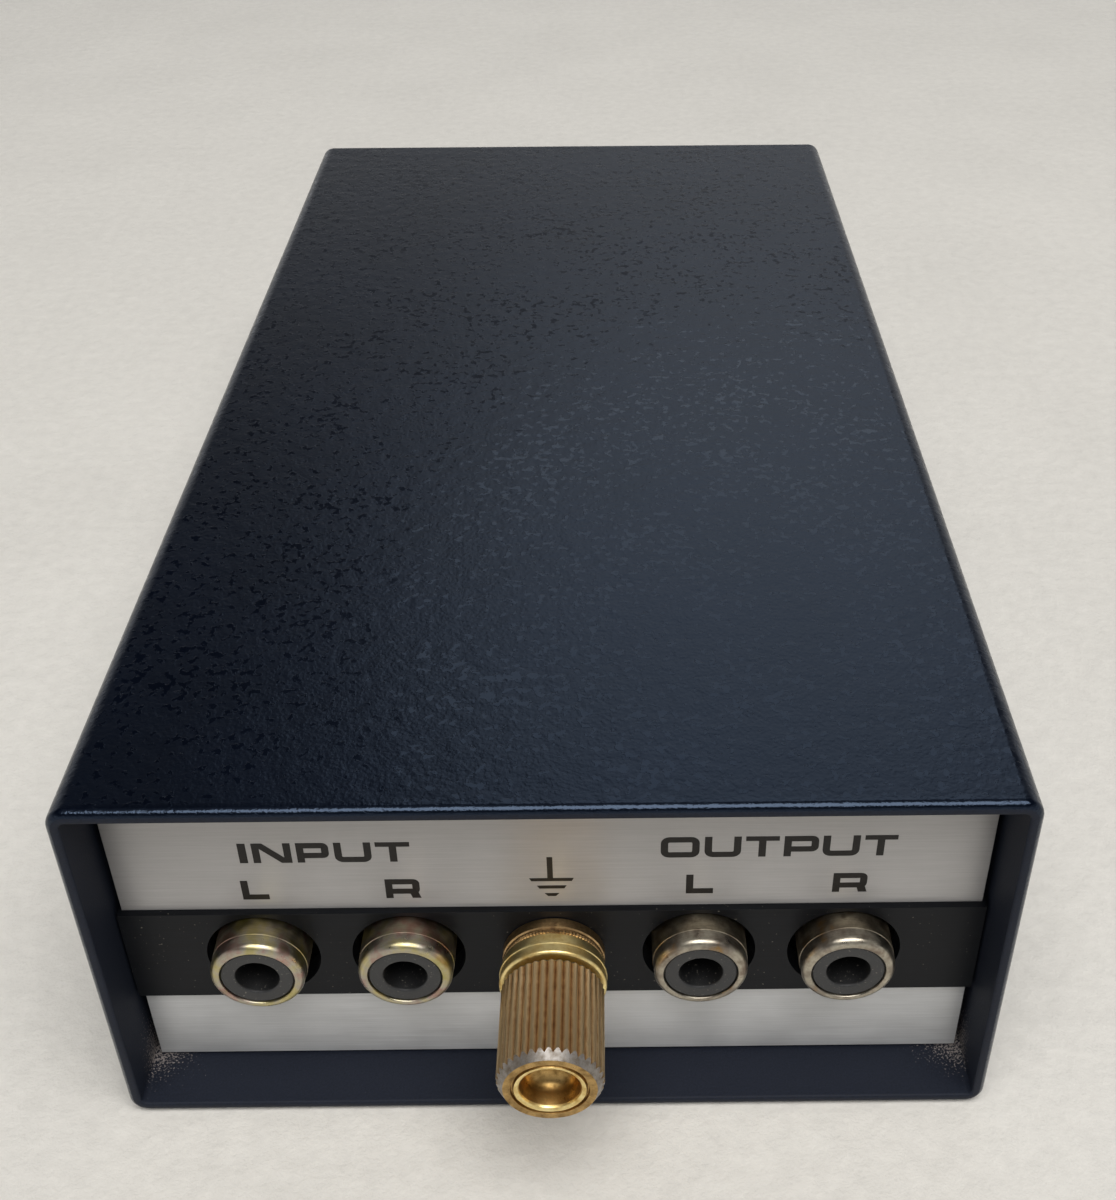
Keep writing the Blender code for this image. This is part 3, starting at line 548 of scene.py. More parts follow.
def round_edges(bm, edges, radius, segments=3):
    """Round edges off."""
    return bmesh.ops.bevel(bm, geom=edges, offset=radius, offset_type="OFFSET",
                           segments=segments, profile=0.5, affect="EDGES", material=-1)


def arc(centre, radius, start, end, steps=5):
    """Points of an arc in a profile, by angle in degrees from the radius axis."""
    turns = [math.radians(start + (end - start) * step / steps) for step in range(steps + 1)]
    return [(centre[0] + radius * math.cos(turn), centre[1] + radius * math.sin(turn))
            for turn in turns]


def lathe(bm, profile, centre, steps=64, ring=True, sign=-1.0, material=0):
    """Spin a profile of (radius, height) about an axis along Y; sign -1 grows to the front."""
    verts = [bm.verts.new((centre[0] + radius, centre[1] + sign * height, centre[2]))
             for radius, height in profile]
    edges = [bm.edges.new(pair) for pair in zip(verts, verts[1:])]
    if ring:
        edges.append(bm.edges.new((verts[-1], verts[0])))
    known = set(bm.faces)
    bmesh.ops.spin(bm, geom=verts + edges, cent=centre, axis=(0, 1, 0), dvec=(0, 0, 0),
                   angle=2 * math.pi, steps=steps, use_merge=True, use_duplicate=False)
    made = [face for face in bm.faces if face not in known]
    for face in made:
        face.material_index = material
    return made


def carve(piece, *shapes):
    """Cut bmesh shapes out of a piece, and keep only the result."""
    cutters = []
    for shape in shapes:
        bmesh.ops.recalc_face_normals(shape, faces=shape.faces)
        mesh = bpy.data.meshes.new("cutter")
        shape.to_mesh(mesh)
        shape.free()
        cutter = bpy.data.objects.new("cutter", mesh)
        bpy.context.collection.objects.link(cutter)
        cutters.append(cutter)
        boolean = piece.modifiers.new("carve", "BOOLEAN")
        boolean.operation = "DIFFERENCE"
        boolean.solver = "EXACT"
        boolean.object = cutter
    bpy.context.view_layer.update()
    shown = piece.evaluated_get(bpy.context.evaluated_depsgraph_get())
    mesh = bpy.data.meshes.new_from_object(shown)
    piece.modifiers.clear()
    old, piece.data = piece.data, mesh
    bpy.data.meshes.remove(old)
    mesh.name = piece.name
    for cutter in cutters:
        bpy.data.meshes.remove(cutter.data)
    mesh.set_sharp_from_angle(angle=math.radians(SHARP))


def cross_recess(centre, axis, reach, width, depth):
    """A cross-shaped cutter for a driver's recess, centred on a head's face, along an axis."""
    outline = []
    for a, b in ((reach, -width), (reach, width), (width, width)):
        outline += [(a, b), (-b, a), (-a, -b), (b, -a)]
    outline.sort(key=lambda spot: math.atan2(spot[1], spot[0]))
    bm = bmesh.new()
    face = bm.faces.new([bm.verts.new((a, b, -depth)) for a, b in outline])
    grown = bmesh.ops.extrude_face_region(bm, geom=[face], use_keep_orig=True)["geom"]
    moved = [item for item in grown if isinstance(item, bmesh.types.BMVert)]
    bmesh.ops.translate(bm, verts=moved, vec=(0, 0, 2 * depth))
    turn = Matrix.Rotation(math.pi / 2, 4, "X") if axis == "Y" else Matrix.Identity(4)
    stop = Matrix.Rotation(math.radians(14), 4, "Z")    # where tightening left it, off the facets
    bmesh.ops.transform(bm, matrix=Matrix.Translation(centre) @ turn @ stop, verts=bm.verts)
    return bm


# ---------------------------------------------------------------- operators

class BoxSleeve(bpy.types.Operator):
    """Make the folded sleeve with its rounded paint edges and countersunk holes"""
    bl_idname = "box.sleeve"
    bl_label = "Painted sleeve"

    def execute(self, context):
        sizes = context.scene.box_sleeve
        bm = bmesh.new()
        block(bm, SLEEVE_LOW, SLEEVE_HIGH)
        ends = [face for face in bm.faces if abs(face.normal.y) > 0.9]
        bmesh.ops.delete(bm, geom=ends, context="FACES_ONLY")
        folds = [edge for edge in bm.edges if not edge.is_boundary]
        round_edges(bm, folds, sizes.corner, 10)
        bmesh.ops.solidify(bm, geom=bm.faces[:], thickness=sizes.wall)
        bmesh.ops.recalc_face_normals(bm, faces=bm.faces)
        rim = [face for face in bm.faces if abs(face.normal.y) > 0.9]
        edge_faces = {edge: [face for face in edge.link_faces if face not in rim]
                      for face in rim for edge in face.edges}
        outer, inner = [], []
        centre = Vector((0.0, 0.0, SLEEVE_HIGH.z / 2))
        for edge, others in edge_faces.items():
            if len(others) != 1:
                continue
            middle = (edge.verts[0].co + edge.verts[1].co) / 2 - centre
            facing = others[0].normal.x * middle.x + others[0].normal.z * middle.z
            (outer if facing > 0 else inner).append(edge)
        round_edges(bm, outer, sizes.rim, 5)
        inner = [edge for edge in inner if edge.is_valid]
        round_edges(bm, inner, 0.25 * MM, 3)
        skin = 0.9 * sizes.wall
        for face in bm.faces:
            spot = face.calc_center_median()
            within = abs(spot.x) < SLEEVE_HIGH.x - skin and skin < spot.z < SLEEVE_HIGH.z - skin
            if within or abs(face.normal.y) > 0.95:
                face.material_index = 1
        sleeve = publish("painted_sleeve", bm, [hammer_enamel(sizes), dry_enamel(sizes)], "case",
                         ["case_sleeve"], 40.0)
        holes = []
        for name in ("case_screw_front", "case_screw_rear"):
            low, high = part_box(name)
            hole = bmesh.new()
            cone = bmesh.ops.create_cone(hole, cap_ends=True, segments=48, radius1=3.1 * MM,
                                         radius2=1.9 * MM, depth=sizes.wall + 0.2 * MM)
            bmesh.ops.translate(hole, verts=cone["verts"],
                                vec=(0, (low.y + high.y) / 2, sizes.wall / 2))
            holes.append(hole)
        carve(sleeve, *holes)
        even_shading(sleeve)
        return {"FINISHED"}


def pen_stroke(bm, outline, width, film, soft=(), closed=False, radius=0.0):
    """Add one stroke of a letter: a low wall along its outer side, rounded at the soft corners,
    then thickened inwards."""
    face_y = LABEL_LOW.y
    wall = bmesh.new()
    near = [wall.verts.new((x, face_y - film, z)) for x, z in outline]
    far = [wall.verts.new((x, face_y + BEDDED, z)) for x, z in outline]
    links = list(range(len(outline))) + ([0] if closed else [])
    for start, end in zip(links, links[1:]):
        wall.faces.new((near[start], near[end], far[end], far[start]))
    wall.edges.ensure_lookup_table()
    corners = [edge for edge in wall.edges for index in soft
               if set(edge.verts) == {near[index], far[index]}]
    if corners:
        round_edges(wall, corners, radius, 5)
    wall.normal_update()
    bmesh.ops.solidify(wall, geom=wall.faces[:], thickness=width)
    mesh = bpy.data.meshes.new("stroke")
    wall.to_mesh(mesh)
    wall.free()
    bm.from_mesh(mesh)
    bpy.data.meshes.remove(mesh)


def slab(bm, corners, film):
    """Add one straight-sided stroke of a letter as a low flat prism."""
    front = LABEL_LOW.y - film
    face = bm.faces.new([bm.verts.new((x, front, z)) for x, z in corners])
    grown = bmesh.ops.extrude_face_region(bm, geom=[face], use_keep_orig=True)["geom"]
    moved = [item for item in grown if isinstance(item, bmesh.types.BMVert)]
    bmesh.ops.translate(bm, verts=moved, vec=(0, film + BEDDED, 0))


def letter(bm, glyph, left, right, low, high, pen, film):
    """Draw a wide squared capital between its outer bounds, in the label plate's plane."""
    radius = 0.3 * (high - low)
    middle = (left + right) / 2
    waist = low + 0.36 * (high - low)
    raised = 1.25 * film
    if glyph == "I":
        slab(bm, ((left, low), (right, low), (right, high), (left, high)), film)
    elif glyph == "L":
        pen_stroke(bm, ((right, low), (left, low), (left, high)), pen, film)
    elif glyph == "T":
        pen_stroke(bm, ((left, high), (right, high)), 0.85 * pen, film)
        pen_stroke(bm, ((middle - pen / 2, low), (middle - pen / 2, high - 0.85 * pen)), pen,
                   film)
    elif glyph == "N":
        pen_stroke(bm, ((left, low), (left, high)), pen, film)
        pen_stroke(bm, ((right, high), (right, low)), pen, film)
        slab(bm, ((right - 1.45 * pen, low), (right, low), (left + 1.45 * pen, high),
                  (left, high)), raised)
    elif glyph == "U":
        pen_stroke(bm, ((right, high), (right, low), (left, low), (left, high)), pen, film,
                   (1, 2), radius=radius)
    elif glyph == "O":
        pen_stroke(bm, ((left, low), (left, high), (right, high), (right, low)), pen, film,
                   (0, 1, 2, 3), True, radius)
    elif glyph in "PR":
        pen_stroke(bm, ((left, low), (left, high), (right, high), (right, waist - pen / 2),
                        (left + pen, waist - pen / 2)), pen, film, (2, 3), radius=0.8 * radius)
        if glyph == "R":
            slab(bm, ((right - 1.1 * pen, low), (right + 0.1 * pen, low),
                      (right - 0.3 * pen, waist), (right - 1.5 * pen, waist)), raised)


class BoxFront(bpy.types.Operator):
    """Make the dark band panel, the two label plates and their lettering"""
    bl_idname = "box.front"
    bl_label = "Front panel and labels"

    def execute(self, context):
        sizes = context.scene.box_front
        self.make_band(sizes)
        # The lower plate's lighter copy of the aluminium is painted light.
        plates = {"upper": brushed_aluminium("brushed_aluminium_upper", sizes.plate),
                  "lower": brushed_aluminium("brushed_aluminium_lower_painted_light", sizes.clean)}
        spans = (("upper", LABEL_LOW, LABEL_HIGH, BAND_HIGH, LABEL_HIGH.z),
                 ("lower", LOWER_LOW, LOWER_HIGH, LOWER_LOW.z, BAND_LOW))
        for name, low, high, bottom, top in spans:
            bm = bmesh.new()
            block(bm, (low.x, low.y, bottom), (high.x, high.y, top))
            round_edges(bm, bm.edges[:], 0.07 * MM, 2)
            plate_piece = publish("label_plate_" + name, bm, [plates[name]], "case",
                                  [name + "_label_plate"])
            even_shading(plate_piece)
        self.make_lettering(sizes)
        return {"FINISHED"}

    def make_band(self, sizes):
        """Plate with a raised band and a hole for each socket."""
        back = PANEL_HIGH.y
        plate_y = back - 1.0 * MM
        bm = bmesh.new()
        block(bm, (PANEL_LOW.x, plate_y, PANEL_LOW.z), PANEL_HIGH)
        for level in (BAND_LOW, BAND_HIGH):
            bmesh.ops.bisect_plane(bm, geom=bm.verts[:] + bm.edges[:] + bm.faces[:],
                                   plane_co=(0, 0, level), plane_no=(0, 0, 1))
        bm.normal_update()
        raised = [face for face in bm.faces if face.normal.y < -0.9
                  and BAND_LOW < face.calc_center_median().z < BAND_HIGH]
        grown = bmesh.ops.extrude_face_region(bm, geom=raised)["geom"]
        moved = [item for item in grown if isinstance(item, bmesh.types.BMVert)]
        bmesh.ops.translate(bm, verts=moved, vec=(0, BAND_Y - plate_y, 0))
        bmesh.ops.delete(bm, geom=[face for face in raised if face.is_valid],
                         context="FACES_ONLY")
        black = shared("black_satin_anodising", satin_anodising, sizes.band)
        band = publish("socket_band_panel", bm, [black], "case", ["front_panel"])
        holes = []
        for name in SOCKETS:
            low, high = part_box("socket_shell_" + name)
            centre = (low + high) / 2
            holes.append(self.hole(sizes.hole, centre.x, centre.z - sizes.drop))
        holes.append(self.hole(2.3 * MM, POST.x, POST.z))
        carve(band, *holes)
        rounding = band.modifiers.new("broken_edges", "BEVEL")
        rounding.width = 0.12 * MM
        rounding.segments = 2
        rounding.limit_method = "ANGLE"
        rounding.angle_limit = math.radians(50)
        even_shading(band)

    def hole(self, radius, x, z):
        """A round cutter through the panel and the band."""
        bm = bmesh.new()
        length = 4 * MM
        profile = ((0, -length), (radius, -length), (radius, length), (0, length))
        lathe(bm, profile, (x, BAND_Y, z), 72, ring=False)
        bmesh.ops.remove_doubles(bm, verts=bm.verts, dist=0.001 * MM)
        return bm

    def make_lettering(self, sizes):
        """INPUT and OUTPUT, an L and an R over each pair, and the earth sign."""
        bm = bmesh.new()
        pen, film = sizes.pen, sizes.film
        words = (
            ("INPUT", 27.85, 30.25, (-26.83, -25.63, -21.83, -18.58, -15.02),
             (-26.12, -22.29, -19.04, -15.4, -12.06)),
            ("OUTPUT", 28.0, 30.5, (9.5, 13.28, 16.81, 20.12, 23.46, 27.04),
             (12.85, 16.43, 19.7, 23.1, 26.65, 29.87)),
            ("LR", 23.2, 25.6, (-27.2, -14.6), (-24.86, -11.58)),
            ("LR", 23.4, 25.8, (11.78, 24.67), (14.18, 27.68)))
        for word, low, high, lefts, rights in words:
            for glyph, left, right in zip(word, lefts, rights):
                letter(bm, glyph, left * MM, right * MM, low * MM, high * MM, pen, film)
        bars = ((25.55, 1.95, 1.78), (24.6, 1.3, 1.1), (23.62, 0.66, 0.34))
        for top, reach, foot in bars:
            slab(bm, ((-foot * MM, (top - 0.38) * MM), (foot * MM, (top - 0.38) * MM),
                      (reach * MM, top * MM), (-reach * MM, top * MM)), film)
        slab(bm, ((-0.36 * MM, 25.5 * MM), (0.14 * MM, 25.5 * MM), (0.14 * MM, 28.2 * MM),
                  (-0.36 * MM, 28.2 * MM)), film)
        publish("printed_lettering", bm, [screen_ink(sizes.ink)], "case")


class BoxSockets(bpy.types.Operator):
    """Make the four phono sockets: shell, insulator and sprung contact of each"""
    bl_idname = "box.sockets"
    bl_label = "Phono sockets"

    def execute(self, context):
        sizes = context.scene.box_sockets
        metal = shared("tarnished_nickel_plate", tarnished_nickel, sizes.metal)
        plastic = moulded_plastic("moulded_grey_phenolic", sizes.plastic)
        # Near-black plastic for the pin hole's wall: painted shade in the deep hole, with a few pale
        # dust flecks.
        bore = moulded_plastic("pin_hole_painted_shade_and_dust", linear("07080b"), 0.6)
        leaf = turned_metal("sprung_contact_bronze", linear("6f675a"), linear("37322a"), 0.4)
        for name in SOCKETS:
            low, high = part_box("socket_shell_" + name)
            rim_y = low.y
            centre = Vector(((low.x + high.x) / 2, rim_y, (low.z + high.z) / 2))
            self.make_shell(name, centre, high.y - rim_y, sizes, metal)
            self.make_insulator(name, centre, sizes, [plastic, bore])
            self.make_contact(name, centre, sizes, leaf)
        return {"FINISHED"}

    def make_shell(self, name, centre, reach, sizes, metal):
        """Turned shell: foot, plain barrel, fine groove, polished nose and bright lip."""
        foot = 7.8 * MM
        seat = 6.9 * MM
        groove = 1.5 * MM
        nose = sizes.shell - 0.05 * MM
        profile = [(1.9 * MM, -reach), (3.0 * MM, -reach), (3.0 * MM, -foot),
                   (4.9 * MM, -foot), (4.9 * MM, -foot + 0.6 * MM),
                   (sizes.shell, -foot + 0.6 * MM), (sizes.shell, -groove - 0.05 * MM),
                   (nose, -groove)]
        profile += arc((nose - 0.72 * MM, -0.72 * MM), 0.72 * MM, 0, 90, 12)
        profile += arc((sizes.bore + 0.15 * MM, -0.15 * MM), 0.15 * MM, 90, 180, 4)
        profile += [(sizes.bore, -seat), (1.9 * MM, -seat)]
        bm = bmesh.new()
        lathe(bm, profile, centre, 96)
        publish("phono_shell_" + name, bm, [metal], "case",
                ["socket_shell_" + name], 28.0)

    def make_insulator(self, name, centre, sizes, plastics):
        """Plastic sleeve that fills the shell, with a softly rounded pin hole whose wall is
        near-black: painted shade.
        """
        face = -0.16 * MM
        outer = sizes.bore - 0.05 * MM
        profile = [(sizes.pin, -6.6 * MM), (outer, -6.6 * MM), (outer, face - 0.12 * MM),
                   (outer - 0.12 * MM, face)]
        profile += arc((sizes.pin + 0.22 * MM, face - 0.22 * MM), 0.22 * MM, 90, 180, 5)
        bm = bmesh.new()
        for face in lathe(bm, profile, centre, 72):
            spot = face.calc_center_median() - centre
            # The pin hole's wall takes the near-black finish: painted shade.
            if math.hypot(spot.x, spot.z) < sizes.pin + 0.05 * MM:
                face.material_index = 1
        publish("phono_insulator_" + name, bm, plastics, "case",
                ["socket_insulator_" + name])

    def make_contact(self, name, centre, sizes, leaf):
        """Tube of four sprung leaves, slit lengthways and closed behind."""
        outer = 1.62 * MM
        profile = [(0.0, -6.3 * MM), (outer, -6.3 * MM), (outer, -4.2 * MM),
                   (outer - 0.16 * MM, -3.7 * MM), (outer + 0.06 * MM, -3.2 * MM)]
        bm = bmesh.new()
        faces = lathe(bm, profile, centre, 48, ring=False)
        slits = []
        for face in faces:
            spot = face.calc_center_median() - centre
            turn = math.degrees(math.atan2(spot.z, spot.x)) + 45
            if spot.y < 5.9 * MM and abs((turn + 45) % 90 - 45) < 5:
                slits.append(face)
        bmesh.ops.delete(bm, geom=slits, context="FACES")
        bmesh.ops.remove_doubles(bm, verts=bm.verts, dist=0.001 * MM)
        bmesh.ops.recalc_face_normals(bm, faces=bm.faces)
        back = min(bm.faces, key=lambda face: -face.calc_center_median().y)
        if back.normal.y < 0:
            bmesh.ops.reverse_faces(bm, faces=bm.faces)
        bmesh.ops.solidify(bm, geom=bm.faces[:], thickness=0.15 * MM)
        publish("phono_contact_" + name, bm, [leaf], "case",
                ["socket_contact_" + name])


class BoxTerminal(bpy.types.Operator):
    """Make the earth terminal: collar, threaded stud, clamp washer and knurled thumb nut"""
    bl_idname = "box.terminal"
    bl_label = "Earth terminal"

    def execute(self, context):
        sizes = context.scene.box_terminal
        brass = turned_metal("polished_turned_brass", sizes.brass[:], linear("cfae68"), 0.3)
        self.make_collar()
        self.make_stud()
        self.make_washer(brass)
        self.make_nut(sizes, brass)
        return {"FINISHED"}

    def make_collar(self):
        """Fixed collar with a finely notched front rim."""
        end = 1.57 * MM
        outer = 4.6 * MM
        profile = [(2.3 * MM, 0.0), (outer - 0.1 * MM, 0.0), (outer, 0.1 * MM),
                   (outer, 0.95 * MM), (outer - 0.12 * MM, 1.05 * MM),
                   (outer - 0.12 * MM, 1.2 * MM), (outer, 1.3 * MM),
                   (outer - 0.02 * MM, end - 0.08 * MM), (outer - 0.12 * MM, end),
                   (2.3 * MM, end)]
        bm = bmesh.new()
        notches = 90
        lathe(bm, profile, POST, 2 * notches)
        for vert in bm.verts:
            across = Vector((vert.co.x - POST.x, 0.0, vert.co.z - POST.z))
            step = round(math.atan2(across.z, across.x) / (math.pi / notches))
            if step % 2 and POST.y - vert.co.y > 1.25 * MM and across.length > 4.3 * MM:
                vert.co -= 0.1 * MM * across.normalized()
        plating = turned_metal("brown_toned_plating", linear("c9a878"), linear("84694a"), 0.28,
                               patch=0.9)
        publish("terminal_collar", bm, [plating], "case",
                ["ground_base_collar"])

    def make_stud(self):
        """Stud with the crests and roots of its thread."""
        back, front = POST.y - STUD_HIGH.y, POST.y - STUD_LOW.y
        crest, root, pitch = 2.0 * MM, 1.65 * MM, 0.7 * MM
        profile = [(0.0, back), (root, back)]
        count = int((front - back) / pitch) - 1
        for turn in range(count):
            start = back + 0.3 * MM + turn * pitch
            profile += [(root, start), (crest, start + 0.3 * pitch),
                        (crest, start + 0.42 * pitch), (root, start + 0.8 * pitch)]
        profile += [(root, front - 0.2 * MM), (root - 0.2 * MM, front), (0.0, front)]
        bm = bmesh.new()
        lathe(bm, profile, POST, 40, ring=False)
        stud = turned_metal("cut_thread_brass", linear("cda85c"), linear("8c6a35"), 0.25)
        publish("terminal_stud", bm, [stud], "case", ["ground_stud"])

    def make_washer(self, brass):
        """Polished ring with a plain band behind, a fine step and a rolled front edge."""
        start, end = POST.y - WASHER_HIGH.y, POST.y - WASHER_LOW.y
        outer = (WASHER_HIGH.x - WASHER_LOW.x) / 2
        profile = [(3.2 * MM, start - 0.25 * MM), (outer - 0.34 * MM, start - 0.25 * MM),
                   (outer - 0.2 * MM, start - 0.1 * MM), (outer - 0.15 * MM, start + 0.76 * MM),
                   (outer, start + 0.84 * MM), (outer, start + 1.0 * MM),
                   (outer - 0.06 * MM, start + 1.06 * MM),
                   (outer - 0.06 * MM, start + 1.5 * MM)]
        profile += arc((outer - 0.3 * MM, end - 0.28 * MM), 0.28 * MM, 0, 90, 5)
        profile += [(3.2 * MM, end)]
        bm = bmesh.new()
        lathe(bm, profile, POST, 96)
        publish("terminal_clamp_washer", bm, [brass], "clamp_washer",
                ["ground_clamp_washer"])

    def make_nut(self, sizes, brass):
        """Straight-knurled nut: zigzag chamfer, turned face, bright lip and a dished end; the flat
        ring of the face, its groove and the dish take a darker brass, which in the groove and the
        dish is painted shade.
        """
        start, end = 4.2 * MM, POST.y - NUT_LOW.y
        bore, neck, face = 2.3 * MM, 2.9 * MM, 3.95 * MM
        cup, rise = 2.46 * MM, 1.4 * MM
        steps = 6 * sizes.teeth
        knurl, chamfer, turned, darkened_face_and_dish = 0, 1, 2, 3
        slope = 1.4

        def plain(radius, height):
            """A round ring."""
            return lambda tooth: (radius, height)

        def toothed(height, inset=0.0, cone=None):
            """A ring that follows the teeth, and a cone where one cuts their ends."""
            def ring(tooth):
                radius = sizes.root + (sizes.tip - sizes.root) * tooth - inset
                return radius, end - slope * (radius - face) if cone else height
            return ring

        rings = [(plain(bore, 10.5 * MM), turned), (plain(bore, 3.0 * MM), turned),
                 (plain(neck, 3.0 * MM), turned), (plain(neck, start), turned),
                 (toothed(start, 0.25 * MM), turned), (toothed(start + 0.25 * MM), chamfer),
                 (toothed(end, cone=True), knurl), (plain(face, end), chamfer),
                 (plain(3.32 * MM, end), darkened_face_and_dish), (plain(3.26 * MM, end - 0.25 * MM), darkened_face_and_dish),
                 (plain(3.12 * MM, end - 0.25 * MM), darkened_face_and_dish), (plain(3.02 * MM, end), darkened_face_and_dish),
                 (plain(2.84 * MM, end), turned), (plain(2.66 * MM, end - 0.1 * MM), turned),
                 (plain(2.58 * MM, end - 0.3 * MM), turned), (plain(cup, end - rise), darkened_face_and_dish)]
        for turn in (10, 22, 34, 46, 58, 70, 80):
            angle = math.radians(turn)
            rings.append((plain(cup * math.cos(angle), end - rise - 1.5 * MM * math.sin(angle)),
                          darkened_face_and_dish))
        bm = bmesh.new()
        upright = Matrix.Translation(POST) @ Matrix.Rotation(math.pi / 2, 4, "X")
        loop = bmesh.ops.create_circle(bm, cap_ends=True, segments=steps, radius=MM,
                                       matrix=upright)["verts"]
        edges = list({edge for vert in loop for edge in vert.link_edges})
        for index, (ring, material) in enumerate(rings):
            if index:
                grown = bmesh.ops.extrude_edge_only(bm, edges=edges)["geom"]
                loop = [item for item in grown if isinstance(item, bmesh.types.BMVert)]
                edges = [item for item in grown if isinstance(item, bmesh.types.BMEdge)]
                for item in grown:
                    if isinstance(item, bmesh.types.BMFace):
                        item.material_index = material
            for vert in loop:
                angle = math.atan2(vert.co.z - POST.z, vert.co.x - POST.x)
                phase = (angle * sizes.teeth / (2 * math.pi)) % 1.0
                tooth = min(1.0, 1.3 * (1.0 - abs(2 * phase - 1.0)))
                radius, height = ring(tooth)
                vert.co = (POST.x + radius * math.cos(angle), POST.y - height,
                           POST.z + radius * math.sin(angle))
        cap = bmesh.ops.edgeloop_fill(bm, edges=edges)["faces"]
        for item in cap:
            item.material_index = darkened_face_and_dish
        nickel = turned_metal("grey_worn_chamfer", linear("96918c"), linear("75695a"), 0.4,
                              (1.0, 1.0, 1.0), 0.2, 0.7)
        knurling = knurled_plating(sizes.ridge, sizes.tip, sizes.root)
        # Darker copy of the brass: painted shade in the dish and the groove, a darker tone on the
        # flat ring of the face.
        darkened_brass = turned_metal("brass_painted_shade_in_dish", linear("bd9b62"), linear("74592f"), 0.26,
                               patch=1.2)
        publish("terminal_thumb_nut", bm, [knurling, nickel, brass, darkened_brass], "thumb_nut",
                ["ground_thumb_nut"], 24.0)


class BoxRear(bpy.types.Operator):
    """Make the rear panel, its two pan-head screws and the screws under the sleeve"""
    bl_idname = "box.rear"
    bl_label = "Rear panel and screws"

    def execute(self, context):
        steel = shared("zinc_plated_steel", zinc_steel)
        black = shared("black_satin_anodising", satin_anodising, context.scene.box_front.band)
        bm = bmesh.new()
        block(bm, REAR_LOW, REAR_HIGH)
        round_edges(bm, bm.edges[:], 0.15 * MM, 2)
        panel = publish("closing_panel", bm, [black], "case", ["rear_panel"])
        even_shading(panel)
        holes = []
        for name in ("rear_screw_left", "rear_screw_right"):
            low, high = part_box(name)
            centre = Vector(((low.x + high.x) / 2, REAR_HIGH.y, (low.z + high.z) / 2))
            hole = bmesh.new()
            lathe(hole, ((0, -3 * MM), (1.8 * MM, -3 * MM), (1.8 * MM, 1 * MM), (0, 1 * MM)),
                  centre, 48, ring=False, sign=1.0)
            bmesh.ops.remove_doubles(hole, verts=hole.verts, dist=0.001 * MM)
            holes.append(hole)
            self.make_pan_head(name, centre, high.y - REAR_HIGH.y, steel)
        carve(panel, *holes)
        even_shading(panel)
        for name in ("case_screw_front", "case_screw_rear"):
            self.make_sunk_head(name, steel)
        return {"FINISHED"}

    def make_pan_head(self, name, centre, height, steel):
        """Pan-head machine screw with a cross recess, its head on the panel."""
        flat = 1.5 * MM
        profile = [(0.0, -5 * MM), (flat, -5 * MM), (flat, 0.02 * MM), (2.75 * MM, 0.02 * MM)]
        profile += arc((1.9 * MM, height - 0.95 * MM), 0.9 * MM, 0, 80, 7)
        profile += [(0.0, height)]
        bm = bmesh.new()
        lathe(bm, profile, centre, 64, ring=False, sign=1.0)
        screw = publish("pan_head_" + name, bm, [steel], "case", [name])
        top = centre + Vector((0, height, 0))
        carve(screw, cross_recess(top, "Y", 1.35 * MM, 0.3 * MM, 1.0 * MM))

    def make_sunk_head(self, name, steel):
        """Countersunk machine screw with a cross recess, its head level with the sleeve."""
        low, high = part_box(name)
        spot = ((low.x + high.x) / 2, (low.y + high.y) / 2, 0.0)
        profile = ((0.0, low.z), (2.7 * MM, low.z), (2.75 * MM, low.z + 0.08 * MM),
                   (1.5 * MM, 1.4 * MM), (1.5 * MM, high.z), (0.0, high.z))
        bm = bmesh.new()
        verts = [bm.verts.new((radius, spot[1], height)) for radius, height in profile]
        edges = [bm.edges.new(pair) for pair in zip(verts, verts[1:])]
        bmesh.ops.spin(bm, geom=verts + edges, cent=spot, axis=(0, 0, 1), dvec=(0, 0, 0),
                       angle=2 * math.pi, steps=64, use_merge=True, use_duplicate=False)
        screw = publish("sunk_head_" + name, bm, [steel], "case", [name])
        carve(screw, cross_recess(Vector((spot[0], spot[1], low.z)), "Z", 1.5 * MM, 0.3 * MM,
                                  0.9 * MM))


class BoxInside(bpy.types.Operator):
    """Give the parts inside the box their own finishes"""
    bl_idname = "box.inside"
    bl_label = "Parts inside"

    def execute(self, context):
        level = (1.0, 1.0, 0.03)
        finishes = {
            "sheet_steel": turned_metal("passivated_steel_sheet", linear("b5b09c"),
                                        linear("98906f"), 0.34, level, 0.2, 6.0),
            # Near-black brown: the board's own brown phenolic darkened as painted shade of the deep
            # recess seen through the band's holes.
            "socket_board": moulded_plastic("phenolic_board", linear("1f1712"), 0.5),
            "socket_metal": shared("tarnished_nickel_plate", tarnished_nickel,
                                   context.scene.box_sockets.metal),
            "fastener_steel": shared("zinc_plated_steel", zinc_steel),
            "screen_metal": turned_metal("annealed_screen_metal", linear("b7b3aa"),
                                         linear("97918a"), 0.3, level, 0.25, 5.0),
            "core_steel": laminations(),
            "winding_copper": wound_wire(),
            "lead_sheath": moulded_plastic("grey_lead_sheath", linear("5d5d5f"), 0.5),
            "earth_sheath": moulded_plastic("green_lead_sheath", linear("2f6b3c"), 0.5),
        }
        shown = {entry["node"]: entry["material_slot"] for entry in frame["record"]["subparts"]}
        for name, slot in shown.items():
            item = frame["nodes"].get(name)
            if item is not None and slot in finishes and not item.hide_render:
                for spot in item.material_slots:
                    spot.material = finishes[slot]
        return {"FINISHED"}


